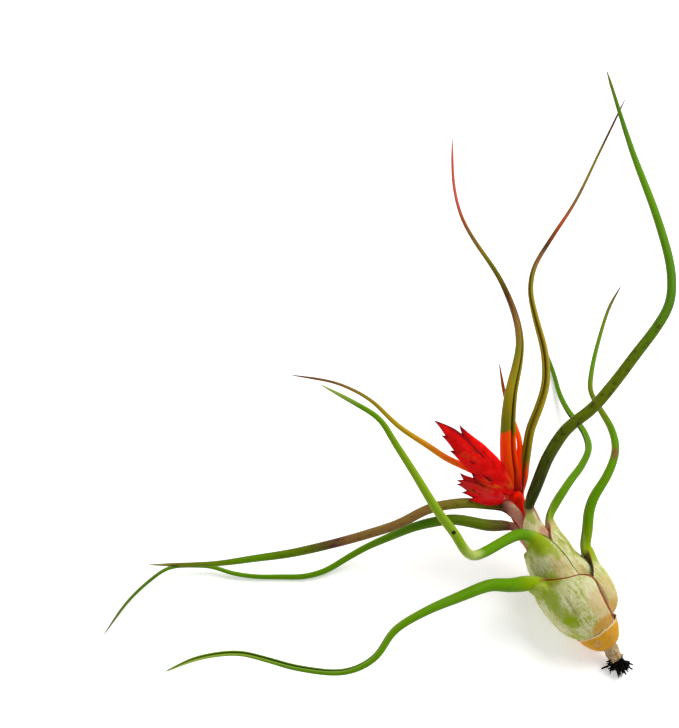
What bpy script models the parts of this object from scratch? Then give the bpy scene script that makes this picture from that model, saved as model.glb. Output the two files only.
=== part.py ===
"""A bulbosa air plant that lies on its side.

The plant is a hollow bulb of nested leaf sheaths round a short stem. Each leaf is one piece: a thin
bowl-like sheath that narrows to a round rolled blade with a groove along its inner side. Two
thin bract leaves and two red flower spikes stand on a stalk that leaves the neck of the bulb.

The plant rests on a small flat spot under the bulb, at the origin, and on the lowest stretches of
two blades. +Z is up, and the neck points away from the viewer, to the back left.
"""

import math
import random

import bmesh
import bpy
import numpy as np
from mathutils import Vector

MM = 0.001

# Bulb, in millimetres: its axis runs from the foot to the neck's mouth
FOOT = Vector((9.4, -13.2, 6.9))
NECK = Vector((-21.0, 29.0, 26.8))
SHOW_SIDE = Vector((-0.22, -0.29, 0.93))
BULB_PROFILE = [
    (4.2, 3.8), (5.0, 6.2), (6.8, 8.8), (9.0, 10.6), (12.0, 12.3), (16.0, 13.3), (20.0, 13.5),
    (24.0, 12.9), (28.0, 11.4), (32.0, 9.9), (36.0, 8.6), (40.0, 7.3), (45.0, 6.3), (50.0, 5.4),
    (58.0, 4.6),
]
SHEATH_THICKNESS = 0.9
NECK_THICKENING = (38.0, 47.0)
LAYER_GAP = 0.6
STEM_RADIUS = 3.1
STEM_GAP = 0.45
EMERGING = (1.8, 7.0)
SHOULDER = 1.5
FREE_LAYERS = 4
SHOULDER_START = 0.68

# Blades
BLADE_STEP = 9.0
BLADE_TURN = math.radians(17.0)
FLARE_LENGTH = 7.0
FLARE_START = 1.4

# Spikes and bract leaves
BRACT_RADIUS = 0.8
SPIKE_SPLAY = math.radians(16.0)
SMALL_BRACT = 0.65

# Roots and husk
ROOT_COUNT = 15
ROOT_RADIUS = 0.32
ROOT_SEED = 11
ROOT_LENGTH = (2.6, 5.4)
ROOT_FAN = math.radians(62.0)
ROOT_FALL = 0.55
HUSK_PROFILE = [(-1.3, 3.2), (-0.9, 4.2), (0.0, 5.3), (1.4, 6.2), (3.2, 6.9), (4.6, 7.4)]
HUSK_THICKNESS = 0.7

MATERIALS = {
    "stem": ((0.62, 0.56, 0.38), 0.7),
    "roots": ((0.03, 0.022, 0.018), 0.8),
    "base_husk": ((0.72, 0.47, 0.13), 0.6),
    "leaf_front_low": ((0.22, 0.36, 0.05), 0.45),
    "leaf_right_outer": ((0.24, 0.38, 0.07), 0.45),
    "leaf_front_bent": ((0.3, 0.42, 0.1), 0.45),
    "leaf_right_inner": ((0.18, 0.31, 0.06), 0.45),
    "leaf_left_green": ((0.13, 0.29, 0.04), 0.45),
    "leaf_left_maroon": ((0.2, 0.13, 0.05), 0.45),
    "leaf_tall_right": ((0.14, 0.2, 0.04), 0.45),
    "leaf_tall_left": ((0.3, 0.14, 0.05), 0.45),
    "leaf_tall_gold": ((0.34, 0.23, 0.06), 0.45),
    "bract_leaf_left": ((0.45, 0.16, 0.03), 0.45),
    "bract_leaf_up": ((0.5, 0.17, 0.06), 0.45),
    "spike_long": ((0.62, 0.04, 0.03), 0.4),
    "spike_short": ((0.5, 0.05, 0.07), 0.4),
}

# Each sheath has rows from its foot to its top: the place along the bulb's axis in millimetres
# and the angle round it in degrees, for the left margin and then for the right one. Angle 0 looks
# up at the viewer. The outermost sheath comes first. A sheath stays pressed under all the outer
# ones up to the span named pressed, and comes free of those that don't cover it beyond.
SHEATHS = {
    "leaf_front_low": {
        "rows": [
            (4.2, -228, 4.2, 62), (8.0, -226, 8.0, 44), (12.0, -216, 13.0, 36),
            (16.5, -192, 18.5, 37), (20.0, -160, 23.0, 41), (22.6, -132, 26.3, 30),
            (24.9, -108, 28.2, 6), (27.0, -88, 29.7, -14), (28.8, -68, 31.0, -36),
        ],
        "fineness": 3, "neck_wall": 0.9, "pressed": (0.0, 1.0),
    },
    "leaf_right_outer": {
        "rows": [
            (4.2, -2, 4.2, 222), (8.0, 4, 8.0, 218), (14.0, 12, 13.0, 206),
            (19.5, 24, 17.5, 184), (24.2, 52, 22.0, 160), (27.2, 68, 26.5, 134),
            (29.6, 73, 30.0, 104),
        ],
        "fineness": 2, "neck_wall": 0.9, "pressed": (5.5, 10.0),
    },
    "leaf_front_bent": {
        "rows": [
            (4.2, -190, 4.2, 40), (10.0, -185, 10.0, 36), (18.0, -160, 18.0, 31),
            (26.0, -125, 26.0, 31), (32.0, -92, 33.0, 32), (36.5, -58, 39.5, 32),
            (39.8, -24, 43.4, 14),
        ],
        "fineness": 2, "neck_wall": 0.9, "pressed": (15.0, 21.0),
    },
    "leaf_right_inner": {
        "rows": [
            (4.2, 0, 4.2, 210), (10.0, 5, 10.0, 206), (18.0, 12, 18.0, 200),
            (27.0, 18, 26.0, 188), (35.0, 22, 33.5, 168), (41.5, 32, 40.0, 136),
            (46.4, 58, 44.4, 96),
        ],
        "fineness": 2, "neck_wall": 0.9, "pressed": (20.0, 27.0),
    },
    "leaf_tall_right": {
        "rows": [
            (4.2, -30, 4.2, 56), (12.0, -30, 12.0, 56), (24.0, -34, 24.0, 60),
            (38.0, -40, 37.0, 66), (45.5, -40, 44.0, 72), (49.6, -24, 48.4, 72),
            (52.8, 22, 52.0, 68),
        ],
        "fineness": 2, "neck_wall": 1.3, "pressed": (27.0, 34.0),
    },
    "leaf_left_green": {
        "rows": [
            (4.2, -150, 4.2, -90), (12.0, -150, 12.0, -90), (24.0, -146, 24.0, -84),
            (35.0, -138, 37.0, -72), (42.5, -118, 45.0, -64), (48.6, -96, 49.8, -60),
        ],
        "fineness": 2, "neck_wall": 1.8, "pressed": (30.0, 37.0),
    },
    "leaf_left_maroon": {
        "rows": [
            (4.2, -78, 4.2, -22), (12.0, -78, 12.0, -22), (24.0, -72, 24.0, -14),
            (37.0, -62, 38.0, -6), (47.0, -56, 49.0, -2), (54.5, -52, 57.0, -12),
        ],
        "fineness": 2, "neck_wall": 1.8, "pressed": (34.0, 42.0),
    },
    "leaf_tall_left": {
        "rows": [
            (4.2, -210, 4.2, -162), (12.0, -208, 12.0, -160), (24.0, -200, 24.0, -154),
            (38.0, -184, 38.0, -148), (47.0, -178, 47.0, -134), (56.0, -174, 56.0, -130),
        ],
        "fineness": 2, "neck_wall": 1.8, "pressed": (34.0, 42.0),
    },
    "leaf_tall_gold": {
        "rows": [
            (4.2, 68, 4.2, 126), (12.0, 70, 12.0, 128), (24.0, 84, 24.0, 140),
            (38.0, 120, 38.0, 164), (47.0, 130, 47.0, 172), (56.0, 126, 56.0, 172),
        ],
        "fineness": 2, "neck_wall": 1.8, "pressed": (34.0, 42.0),
    },
}
LAYER_ORDER = [
    ["leaf_front_low"], ["leaf_right_outer"], ["leaf_front_bent"], ["leaf_right_inner"],
    ["leaf_tall_right"],
    ["leaf_left_green", "leaf_left_maroon", "leaf_tall_left", "leaf_tall_gold"],
]

# Each blade has a route in millimetres from its sheath to its tip, chosen by eye like the lie of a
# cord, and its radius at even steps along it
BLADES = {
    "leaf_front_low": {
        "route": [
            (-26, 0, 28.5), (-33, -1, 32), (-44, -6, 35), (-55, -11, 36.5), (-65, -17, 36),
            (-71, -25, 34), (-81, -29, 32), (-95, -28, 33), (-105, -26, 36), (-114, -25, 40),
            (-125, -28, 46), (-134, -33, 50),
        ],
        "radii": [2.3, 1.75, 1.45, 1.15, 1.0, 0.95, 0.8, 0.65],
    },
    "leaf_front_bent": {
        "route": [
            (-19, 16, 33.5), (-23, 15, 36), (-29, 11, 39.5), (-36, 6, 43.5), (-41, 4, 46.5),
            (-46, 9, 53), (-52, 13, 62), (-59, 21, 71), (-66, 29, 79), (-70, 34, 83),
            (-77, 37, 87), (-88, 40, 94),
        ],
        "radii": [2.1, 1.75, 1.6, 1.5, 1.3, 1.05, 0.8, 0.55],
    },
    "leaf_right_outer": {
        "route": [
            (3, 20, 26.5), (3, 24, 28.5), (5, 30, 31.5), (10, 37, 34), (14, 46, 35),
            (14, 55, 34), (12, 64, 31), (10, 72, 29), (11, 79, 28), (15, 92, 27),
            (22, 110, 27), (28, 120, 29),
        ],
        "radii": [1.95, 1.8, 1.5, 1.25, 0.98, 0.8, 0.66, 0.5],
    },
    "leaf_right_inner": {
        "route": [
            (-5, 33, 25.5), (0, 40, 24), (5, 46.5, 21), (10, 56, 16), (10.5, 65, 11),
            (9, 71, 7.8), (7, 77, 5), (5, 86, 2.4), (4, 96, 1.1), (2, 106, 0.85),
            (1, 114, 0.8),
        ],
        "radii": [1.7, 1.5, 1.4, 1.3, 1.15, 1.05, 0.95, 0.6],
    },
    "leaf_left_green": {
        "route": [
            (-30, 22, 25.5), (-37, 23, 26.5), (-43, 24, 26.5), (-50, 23.5, 25), (-57, 23, 21),
            (-66, 21.5, 14), (-72, 20.5, 9), (-79, 18, 4.6), (-87, 14, 1.9), (-95, 12, 1.0),
            (-103, 12, 0.8), (-112, 12, 1.0), (-121, 13, 1.9), (-128, 15, 3), (-135, 15, 4),
            (-142, 14.5, 4.5), (-147, 12, 4.4), (-157, 3, 2.4), (-165, -9, 0.6),
        ],
        "radii": [2.1, 1.9, 1.6, 1.25, 1.1, 1.0, 0.85, 0.72, 0.6, 0.4],
    },
    "leaf_left_maroon": {
        "route": [
            (-30, 28.2, 29.2), (-37, 28.6, 30), (-44, 27.8, 30.8), (-52, 26, 30.8), (-62, 21.5, 28.5),
            (-73, 19, 25), (-85, 17, 21), (-99, 15, 17.5), (-112, 14, 15), (-124, 13, 13),
            (-135, 13, 11.5), (-150, 13, 11),
        ],
        "radii": [1.75, 1.75, 1.65, 1.6, 1.55, 1.5, 1.25, 0.9, 0.55],
    },
    "leaf_tall_right": {
        "route": [
            (-16, 30.5, 38.5), (-15, 33, 45), (-13, 37, 51), (-8, 43, 58), (0, 48, 63),
            (7, 55, 67), (14, 63, 72), (21, 71, 76), (26, 79, 78), (28, 89, 79),
            (28, 100, 79.5), (27, 119, 78), (25, 152, 73), (24, 198, 66),
        ],
        "radii": [1.85, 1.8, 1.7, 1.6, 1.5, 1.45, 1.3, 1.05, 0.75, 0.5],
    },
    "leaf_tall_left": {
        "route": [
            (-23.2, 37, 34.5), (-24.6, 42, 41), (-25, 50, 48), (-24, 59, 53), (-21, 70, 55),
            (-19.5, 79, 55), (-20, 92, 53), (-24, 109, 51), (-32, 127, 50), (-36, 139, 50),
            (-38, 153, 52), (-38, 171, 57),
        ],
        "radii": [2.0, 1.75, 1.6, 1.3, 1.1, 0.95, 0.8, 0.68, 0.5],
    },
    "leaf_tall_gold": {
        "route": [
            (-18.5, 36, 31.5), (-18.5, 39.5, 36), (-18, 44, 41), (-17, 49.5, 45), (-14, 56, 48),
            (-11, 65, 50), (-10, 78, 49), (-11, 94, 46), (-11, 108, 43), (-8, 120, 42),
            (0, 134, 41), (11, 151, 43), (22, 172, 47), (35, 197, 52),
        ],
        "radii": [1.25, 1.3, 1.25, 1.15, 0.95, 0.85, 0.7, 0.55, 0.42],
    },
}

# The stalk and what stands on it
STUB_ROUTE = [(12.9, -17.8, 3.4), (12.0, -16.4, 4.6)]
STUB_RADII = [2.0, 1.7]
STEM_PROFILE = [
    (-1.2, 1.75), (0.2, 1.9), (1.2, 3.0), (3.0, STEM_RADIUS), (9.0, STEM_RADIUS), (14.0, 2.6),
    (22.0, 1.4), (34.0, 1.15), (46.0, 1.15), (52.0, 1.15),
]
STALK_ROUTE = [(-20.6, 30.8, 28.4), (-21.8, 31.5, 30.4)]
STALK_RADIUS = 1.15
BRACT_LEAVES = {
    "bract_leaf_left": {
        "route": [
            (-25.5, 34.9, 31.3), (-27.8, 35.5, 32.7), (-33.0, 36.6, 35.4), (-39, 38.2, 38.5),
            (-46, 40, 42), (-52, 43, 45), (-61, 48, 48), (-66, 52, 50), (-70, 56, 51),
            (-76, 60, 52), (-85, 63, 54), (-99, 64, 57),
        ],
        "radii": [0.62, 0.85, 0.8, 0.7, 0.55, 0.45, 0.38],
    },
    "bract_leaf_up": {
        "route": [
            (-19.9, 33.4, 30.6), (-20.4, 35.6, 34), (-20.6, 41, 38.2), (-20.6, 46, 42.8),
            (-22.5, 52, 45.2), (-25, 61, 47.2), (-26.5, 73, 50),
        ],
        "radii": [0.8, 1.0, 0.85, 0.65, 0.55, 0.4],
    },
}
SPIKES = {
    "spike_long": {
        "foot": (-22.6, 31.6, 31.6), "tip": (-48.9, 46.8, 55.8), "bracts": 13, "length": 13.5,
        "width": 5.6, "thickness": 2.1, "stem": 0.9,
    },
    "spike_short": {
        "foot": (-26.1, 28.9, 32.0), "tip": (-41.9, 34.0, 36.4), "bracts": 9, "length": 9.0,
        "width": 4.2, "thickness": 1.4, "stem": 0.6,
    },
}


def smooth_curve(points, count):
    """Sample a smooth curve that runs through every one of the points.

    Args:
        points: Rows of coordinates, two or more.
        count: How many samples to take between neighbouring points.

    Returns:
        An array with one row for each sample, from the first point to the last.
    """
    rows = np.array(points, dtype=float)
    padded = np.vstack([2 * rows[0] - rows[1], rows, 2 * rows[-1] - rows[-2]])
    samples = []
    for index in range(len(rows) - 1):
        before, start, end, after = padded[index:index + 4]
        for step in range(count):
            t = step / count
            samples.append(0.5 * (
                2 * start + (end - before) * t
                + (2 * before - 5 * start + 4 * end - after) * t ** 2
                + (3 * start - before - 3 * end + after) * t ** 3
            ))
    samples.append(rows[-1])
    return np.array(samples)


def smooth_step(low, high, value):
    """Rise from 0 at low to 1 at high, with level ends."""
    t = min(max((value - low) / (high - low), 0.0), 1.0)
    return t * t * (3 - 2 * t)


class Bulb:
    """The bulb's axis and outer profile, on which every sheath is laid out."""

    def __init__(self):
        self.axis = (NECK - FOOT).normalized()
        self.front = (SHOW_SIDE - self.axis * SHOW_SIDE.dot(self.axis)).normalized()
        self.side = self.axis.cross(self.front)
        curve = smooth_curve(BULB_PROFILE, 12)
        self.along = curve[:, 0]
        self.radius = curve[:, 1]
        self.slope = np.gradient(self.radius, self.along)

    def point(self, along, angle, depth):
        """Give the point under the bulb's surface.

        Args:
            along: Where the surface point lies along the axis, in millimetres.
            angle: The angle round the axis, in degrees.
            depth: How far below the surface the point lies, square to it.
        """
        radius = float(np.interp(along, self.along, self.radius))
        slope = float(np.interp(along, self.along, self.slope))
        size = math.hypot(1.0, slope)
        height = along + depth * slope / size
        reach = radius - depth / size
        turn = math.radians(angle)
        outward = self.front * math.cos(turn) + self.side * math.sin(turn)
        return FOOT + self.axis * height + outward * reach

    def radius_at(self, along):
        """Give the surface's radius at a place along the axis."""
        return float(np.interp(along, self.along, self.radius))

    def sheath_foot(self, depth):
        """Find where a sheath whose inner side lies at this depth meets the stem."""
        for along, radius, slope in zip(self.along, self.radius, self.slope):
            if radius - depth / math.hypot(1.0, slope) >= STEM_RADIUS + STEM_GAP:
                return float(along)
        raise ValueError("no room at the stem")


BULB = Bulb()


def wall_thickness(name, along):
    """Give a sheath's thickness, which may grow towards the neck."""
    growth = SHEATHS[name]["neck_wall"] - SHEATH_THICKNESS
    return SHEATH_THICKNESS + growth * smooth_step(NECK_THICKENING[0], NECK_THICKENING[1], along)


def margins(name):
    """Give the outline of a sheath's margins on the unrolled bulb, closed across its top.

    Returns:
        The left margin and the right one, each as rows of place and angle, from foot to top. The
        lower of their two tops is carried on to the higher one.
    """
    rows = smooth_curve(SHEATHS[name]["rows"], 3)
    left = rows[:, 0:2]
    right = rows[:, 2:4]
    if left[-1][0] < right[-1][0]:
        left = np.vstack([left, right[-1]])
    else:
        right = np.vstack([right, left[-1]])
    return left, right


MARGINS = {name: margins(name) for name in SHEATHS}


def margin_distance(name, along, angle):
    """Measure how far a point of the bulb lies outside a sheath, in millimetres."""
    radius = BULB.radius_at(along)
    left, right = MARGINS[name]
    nearest = math.inf
    for turn in (-360.0, 0.0, 360.0):
        low = np.interp(along, left[:, 0], left[:, 1])
        high = np.interp(along, right[:, 0], right[:, 1])
        if along <= left[-1][0] and low <= angle + turn <= high:
            return 0.0
        point = np.array([along, math.radians(angle + turn) * radius])
        for margin in (left, right):
            line = np.column_stack([margin[:, 0], np.radians(margin[:, 1]) * radius])
            starts = line[:-1]
            spans = line[1:] - starts
            sizes = np.maximum(np.sum(spans ** 2, axis=1), 1e-9)
            shares = np.clip(np.sum((point - starts) * spans, axis=1) / sizes, 0.0, 1.0)
            gaps = np.linalg.norm(point - starts - spans * shares[:, None], axis=1)
            nearest = min(nearest, float(gaps.min()))
    return nearest


def cover(name, along, angle):
    """Tell how far a sheath lies over a point of the bulb: 1 under it, 0 well outside it."""
    return 1.0 - smooth_step(EMERGING[0], EMERGING[1], margin_distance(name, along, angle))


def sheath_depth(name, layer, along, angle):
    """Give how far the outer layers press a sheath below the bulb's surface."""
    pressed = 1.0 - smooth_step(*SHEATHS[name]["pressed"], along)
    depth = 0.0
    for outer in LAYER_ORDER[:layer]:
        depth += max(max(pressed, cover(other, along, angle))
                     * (wall_thickness(other, along) + LAYER_GAP) for other in outer)
    return depth


def sheath_rings(name, layer):
    """Lay out a sheath's rings, from its foot to its top.

    Each ring runs along the outer side from the left margin to the right one, round the right rim,
    back along the inner side and round the left rim.
    """
    spec = SHEATHS[name]
    fine = spec["fineness"]
    rows = smooth_curve(spec["rows"], 2)
    foot = BULB.sheath_foot((SHEATH_THICKNESS + LAYER_GAP) * layer + SHEATH_THICKNESS)
    start = [[foot, spec["rows"][0][1], foot, spec["rows"][0][3]]]
    early = [[foot + rise, row[1], foot + rise, row[3]]
             for rise, row in ((0.5, rows[0]), (1.5, rows[0]))]
    kept = [row for row in rows if min(row[0], row[2]) > foot + 2.6]
    rings = []
    spans = start + early + [list(row) for row in kept]
    for index, (left_along, left_angle, right_along, right_angle) in enumerate(spans):
        risen = smooth_step(SHOULDER_START, 1.0, index / (len(spans) - 1))
        swell = SHOULDER * risen if layer < FREE_LAYERS else 0.0
        ring = []
        outer_steps = 6 * fine
        inner_steps = 4 * fine
        fractions = [(step / outer_steps, 0.0) for step in range(outer_steps + 1)]
        fractions += [(1.0, (step + 1) / fine) for step in range(fine - 1)]
        fractions += [(1.0 - step / inner_steps, 1.0) for step in range(inner_steps + 1)]
        fractions += [(0.0, 1.0 - (step + 1) / fine) for step in range(fine - 1)]
        for across, down in fractions:
            along = left_along + (right_along - left_along) * across
            angle = left_angle + (right_angle - left_angle) * across
            depth = sheath_depth(name, layer, along, angle) + down * wall_thickness(name, along)
            depth -= swell * (1.0 - down) * 4.0 * across * (1.0 - across)
            ring.append(BULB.point(along, angle, depth))
        rings.append(ring)
    return rings


def even_route(points, step, turn):
    """Sample a smooth route so that no step is longer or turns more than it may.

    Args:
        points: The route's own points, in millimetres.
        step: The longest straight step.
        turn: The largest turn between neighbouring steps, in radians.

    Returns:
        A list of points, and for each its distance from the start.
    """
    dense = smooth_curve(points, 24)
    moves = np.diff(dense, axis=0)
    lengths = np.linalg.norm(moves, axis=1)
    headings = moves / lengths[:, None]
    bends = np.arccos(np.clip(np.sum(headings[1:] * headings[:-1], axis=1), -1.0, 1.0))
    cost = lengths / step
    cost[1:] += bends / turn
    total = np.concatenate([[0.0], np.cumsum(cost)])
    distance = np.concatenate([[0.0], np.cumsum(lengths)])
    count = max(4, int(math.ceil(total[-1])))
    wanted = np.linspace(0.0, total[-1], count + 1)
    route = [Vector([float(np.interp(w, total, dense[:, axis])) for axis in range(3)])
             for w in wanted]
    return route, [float(np.interp(w, total, distance)) for w in wanted]


def carried_frames(route, side):
    """Carry a side vector along a route without turning it round the route.

    Args:
        route: Points of the route.
        side: The wanted side direction at its start.

    Returns:
        For each point, its side and its back direction, both square to the route.
    """
    frames = []
    for index in range(len(route)):
        before = route[max(index - 1, 0)]
        after = route[min(index + 1, len(route) - 1)]
        heading = (after - before).normalized()
        side = (side - heading * side.dot(heading)).normalized()
        frames.append((side.copy(), side.cross(heading)))
    return frames


def grooved_section(half_width, thickness, rolled):
    """Give a blade's section: an open strip that rolls up into a tube with a groove.

    Args:
        half_width: Half the width across the blade.
        thickness: Half the depth of the rolled tube.
        rolled: 0 for the open strip at the sheath, 1 for the closed blade.

    Returns:
        Twelve pairs, across and towards the back, in the order of a sheath's ring.
    """
    strip_across = [-1.0, -0.67, -0.33, 0.0, 0.33, 0.67, 1.0, 0.7, 0.36, 0.0, -0.36, -0.7]
    tube = [(math.sin(math.radians(a)), math.cos(math.radians(a))) for a in range(-120, 121, 40)]
    tube += [(0.42, -0.87), (0.19, -0.4), (0.0, -0.1), (-0.19, -0.4), (-0.42, -0.87)]
    points = []
    for index, across in enumerate(strip_across):
        crown = SHOULDER * (0.5 - across ** 2) if index <= 6 else -0.5 * SHOULDER
        face = 0.5 if index <= 6 else -0.5
        strip = (across * half_width, crown + face * SHEATH_THICKNESS)
        round_tube = (tube[index][0] * half_width, tube[index][1] * thickness)
        points.append(tuple(a + (b - a) * rolled for a, b in zip(strip, round_tube)))
    return points


def blade_rings(route, distances, frames, radii, start_width, flare):
    """Place a blade's sections along its route.

    Args:
        route: The points of the route.
        distances: Each point's distance from the start.
        frames: Each point's side and back directions.
        radii: The blade's radius at even steps from its foot to its tip.
        start_width: Half the width of the strip that it grows from.
        flare: The length over which the strip rolls up.
    """
    rings = []
    total = distances[-1]
    steps = np.linspace(0.0, 1.0, len(radii))
    for point, distance, (side, back) in zip(route, distances, frames):
        radius = float(np.interp(distance / total, steps, radii))
        rolled = smooth_step(0.0, flare, distance) if flare else 1.0
        width = start_width + (radius - start_width) * rolled
        section = grooved_section(width, radius, rolled)
        rings.append([point + side * across + back * depth for across, depth in section])
    return rings


def add_ring(bm, ring):
    """Add a ring of vertices to a mesh, from points in millimetres."""
    return [bm.verts.new(point * MM) for point in ring]


def bridge(bm, first, second):
    """Join two rings, the first with a whole number of vertices for each one of the second."""
    ratio = len(first) // len(second)
    for index in range(len(second)):
        following = (index + 1) % len(second)
        fan = [first[(index * ratio + step) % len(first)] for step in range(ratio + 1)]
        middle = ratio // 2
        for step in range(ratio):
            if step == middle:
                bm.faces.new((fan[step], fan[step + 1], second[following], second[index]))
            elif step < middle:
                bm.faces.new((fan[step], fan[step + 1], second[index]))
            else:
                bm.faces.new((fan[step], fan[step + 1], second[following]))


def close_tip(bm, ring, tip):
    """Close a ring with a fan of triangles to one point."""
    peak = bm.verts.new(tip * MM)
    for index in range(len(ring)):
        bm.faces.new((ring[index], ring[(index + 1) % len(ring)], peak))


def close_foot(bm, ring, fine):
    """Close a sheath's lowest ring between its outer and its inner side."""
    outer = ring[:6 * fine + 1]
    inner = ring[7 * fine:11 * fine + 1][::-1]
    right_rim = ring[6 * fine:7 * fine + 1]
    left_rim = [ring[0]] + ring[11 * fine:][::-1]
    if fine > 1:
        bm.faces.new(right_rim)
        bm.faces.new(left_rim)
    at_outer = 0
    at_inner = 0
    while at_outer < len(outer) - 1 or at_inner < len(inner) - 1:
        outer_next = (at_outer + 1) / (len(outer) - 1)
        inner_next = (at_inner + 1) / (len(inner) - 1)
        if outer_next <= inner_next:
            bm.faces.new((outer[at_outer], outer[at_outer + 1], inner[at_inner]))
            at_outer += 1
        else:
            bm.faces.new((outer[at_outer], inner[at_inner + 1], inner[at_inner]))
            at_inner += 1


def rest_flat(bm):
    """Cut away what lies below the surface that the plant rests on, and close the cut flat."""
    geometry = bm.verts[:] + bm.edges[:] + bm.faces[:]
    bmesh.ops.bisect_plane(bm, geom=geometry, dist=1e-7, plane_co=(0, 0, 0),
                           plane_no=(0, 0, 1), clear_inner=True)
    open_edges = [edge for edge in bm.edges if edge.is_boundary]
    if open_edges:
        bmesh.ops.holes_fill(bm, edges=open_edges, sides=0)


def finish_mesh(bm, name):
    """Turn a mesh into a named object with its own material, shaded smooth."""
    rest_flat(bm)
    bmesh.ops.recalc_face_normals(bm, faces=bm.faces[:])
    mesh = bpy.data.meshes.new(name)
    bm.to_mesh(mesh)
    bm.free()
    colour, roughness = MATERIALS[name]
    material = bpy.data.materials.new(name)
    material.use_nodes = True
    shader = material.node_tree.nodes["Principled BSDF"]
    shader.inputs["Base Color"].default_value = (*colour, 1.0)
    shader.inputs["Roughness"].default_value = roughness
    shader.inputs["Metallic"].default_value = 0.0
    mesh.materials.append(material)
    mesh.shade_smooth()
    mesh.set_sharp_from_angle(angle=math.radians(50.0))
    piece = bpy.data.objects.new(name, mesh)
    bpy.context.scene.collection.objects.link(piece)
    return piece


def build_leaf(name, layer):
    """Build a leaf: its sheath on the bulb and its blade along its route, in one skin."""
    bm = bmesh.new()
    fine = SHEATHS[name]["fineness"]
    rings = sheath_rings(name, layer)
    loops = [add_ring(bm, ring) for ring in rings]
    close_foot(bm, loops[0], fine)
    for lower, upper in zip(loops, loops[1:]):
        bridge(bm, lower, upper)
    top = rings[-1]
    left = (top[0] + top[11 * fine]) / 2
    right = (top[6 * fine] + top[7 * fine]) / 2
    middle = (top[3 * fine] + top[9 * fine]) / 2
    outward = top[3 * fine] - top[9 * fine]
    heading = outward.cross(right - left).normalized()
    spec = BLADES[name]
    start = middle + heading * FLARE_START
    route, distances = even_route([start] + spec["route"], BLADE_STEP, BLADE_TURN)
    across = (right - left) - heading * (right - left).dot(heading)
    frames = carried_frames(route, across)
    half_width = across.length / 2
    blade = blade_rings(route, distances, frames, spec["radii"], half_width, FLARE_LENGTH)
    previous = loops[-1]
    for ring in blade[:-1]:
        loop = add_ring(bm, ring)
        bridge(bm, previous, loop)
        previous = loop
    close_tip(bm, previous, route[-1])
    return finish_mesh(bm, name)


def tube_rings(route, radii, sides, side=Vector((1.0, 0.0, 0.0))):
    """Give plain round rings along a route, one for each of its points."""
    rings = []
    for point, radius, (across, back) in zip(route, radii, carried_frames(route, side)):
        angles = [math.tau * step / sides for step in range(sides)]
        rings.append([point + (across * math.cos(a) + back * math.sin(a)) * radius
                      for a in angles])
    return rings


def skin(bm, rings):
    """Join rings of equal size into one closed body with flat ends."""
    loops = [add_ring(bm, ring) for ring in rings]
    for lower, upper in zip(loops, loops[1:]):
        bridge(bm, lower, upper)
    bm.faces.new(loops[0])
    bm.faces.new(loops[-1])


def build_bract_leaf(name):
    """Build a thin bract leaf: a narrow grooved blade with a pointed foot on the stalk."""
    spec = BRACT_LEAVES[name]
    bm = bmesh.new()
    route, distances = even_route(spec["route"], BLADE_STEP * 0.8, BLADE_TURN)
    frames = carried_frames(route, BULB.side)
    rings = blade_rings(route, distances, frames, spec["radii"], BRACT_RADIUS, 0.0)
    loops = [add_ring(bm, ring) for ring in rings[:-1]]
    bm.faces.new(loops[0])
    for lower, upper in zip(loops, loops[1:]):
        bridge(bm, lower, upper)
    close_tip(bm, loops[-1], route[-1])
    return finish_mesh(bm, name)


def build_stem():
    """Build the short stem with its root stub and the stalk that climbs through the neck."""
    route = [Vector(point) for point in STUB_ROUTE]
    radii = list(STUB_RADII)
    for along, radius in STEM_PROFILE:
        route.append(FOOT + BULB.axis * along)
        radii.append(radius)
    for point in STALK_ROUTE:
        route.append(Vector(point))
        radii.append(STALK_RADIUS)
    bm = bmesh.new()
    skin(bm, tube_rings(route, radii, 10))
    return finish_mesh(bm, "stem")


def build_husk():
    """Build the dry husk: a shallow bowl round the foot of the bulb, open at the stub."""
    sides = 18
    outer = smooth_curve(HUSK_PROFILE, 1)
    bm = bmesh.new()
    profile = [tuple(row) for row in outer]
    slopes = np.gradient(outer, axis=0)
    for row, slope in reversed(list(zip(outer, slopes))):
        size = math.hypot(slope[0], slope[1])
        profile.append((row[0] + HUSK_THICKNESS * slope[1] / size,
                        row[1] - HUSK_THICKNESS * slope[0] / size))
    loops = []
    for along, radius in profile:
        ring = []
        for step in range(sides):
            turn = math.tau * step / sides
            outward = BULB.front * math.cos(turn) + BULB.side * math.sin(turn)
            ring.append(FOOT + BULB.axis * along + outward * radius)
        loops.append(add_ring(bm, ring))
    for index, loop in enumerate(loops):
        bridge(bm, loop, loops[(index + 1) % len(loops)])
    return finish_mesh(bm, "base_husk")


def build_roots():
    """Build the tuft of wiry roots, all grown from one crown under the stub."""
    rng = random.Random(ROOT_SEED)
    stub_end = Vector(STUB_ROUTE[0])
    away = (stub_end - Vector(STUB_ROUTE[1])).normalized()
    crown = stub_end + away * 0.4
    bm = bmesh.new()
    skin(bm, tube_rings([crown, crown + away * 0.7, crown + away * 1.3], [1.5, 1.7, 0.8], 8))
    base = finish_mesh(bm, "roots")
    parts = []
    for index in range(ROOT_COUNT):
        spread = ROOT_FAN * (2.0 * index / (ROOT_COUNT - 1) - 1.0)
        heading = Vector((math.sin(spread), -math.cos(spread), rng.uniform(-0.2, 0.5)))
        bend = Vector((rng.uniform(-1.0, 1.0), rng.uniform(-0.6, 0.6), -ROOT_FALL))
        length = rng.uniform(*ROOT_LENGTH)
        start = crown + away * 0.9
        points = [start]
        for step in (0.3, 0.65, 1.0):
            point = start + heading * (length * step) + bend * (length * 0.4 * step ** 2)
            point.z = max(point.z, 2 * ROOT_RADIUS + 0.2 * (index % 3))
            points.append(point)
        route = [Vector(row) for row in smooth_curve([list(p) for p in points], 2)]
        parts.append(tube_rings(route, [ROOT_RADIUS] * len(route), 4))
    return fuse(base, parts)


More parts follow.
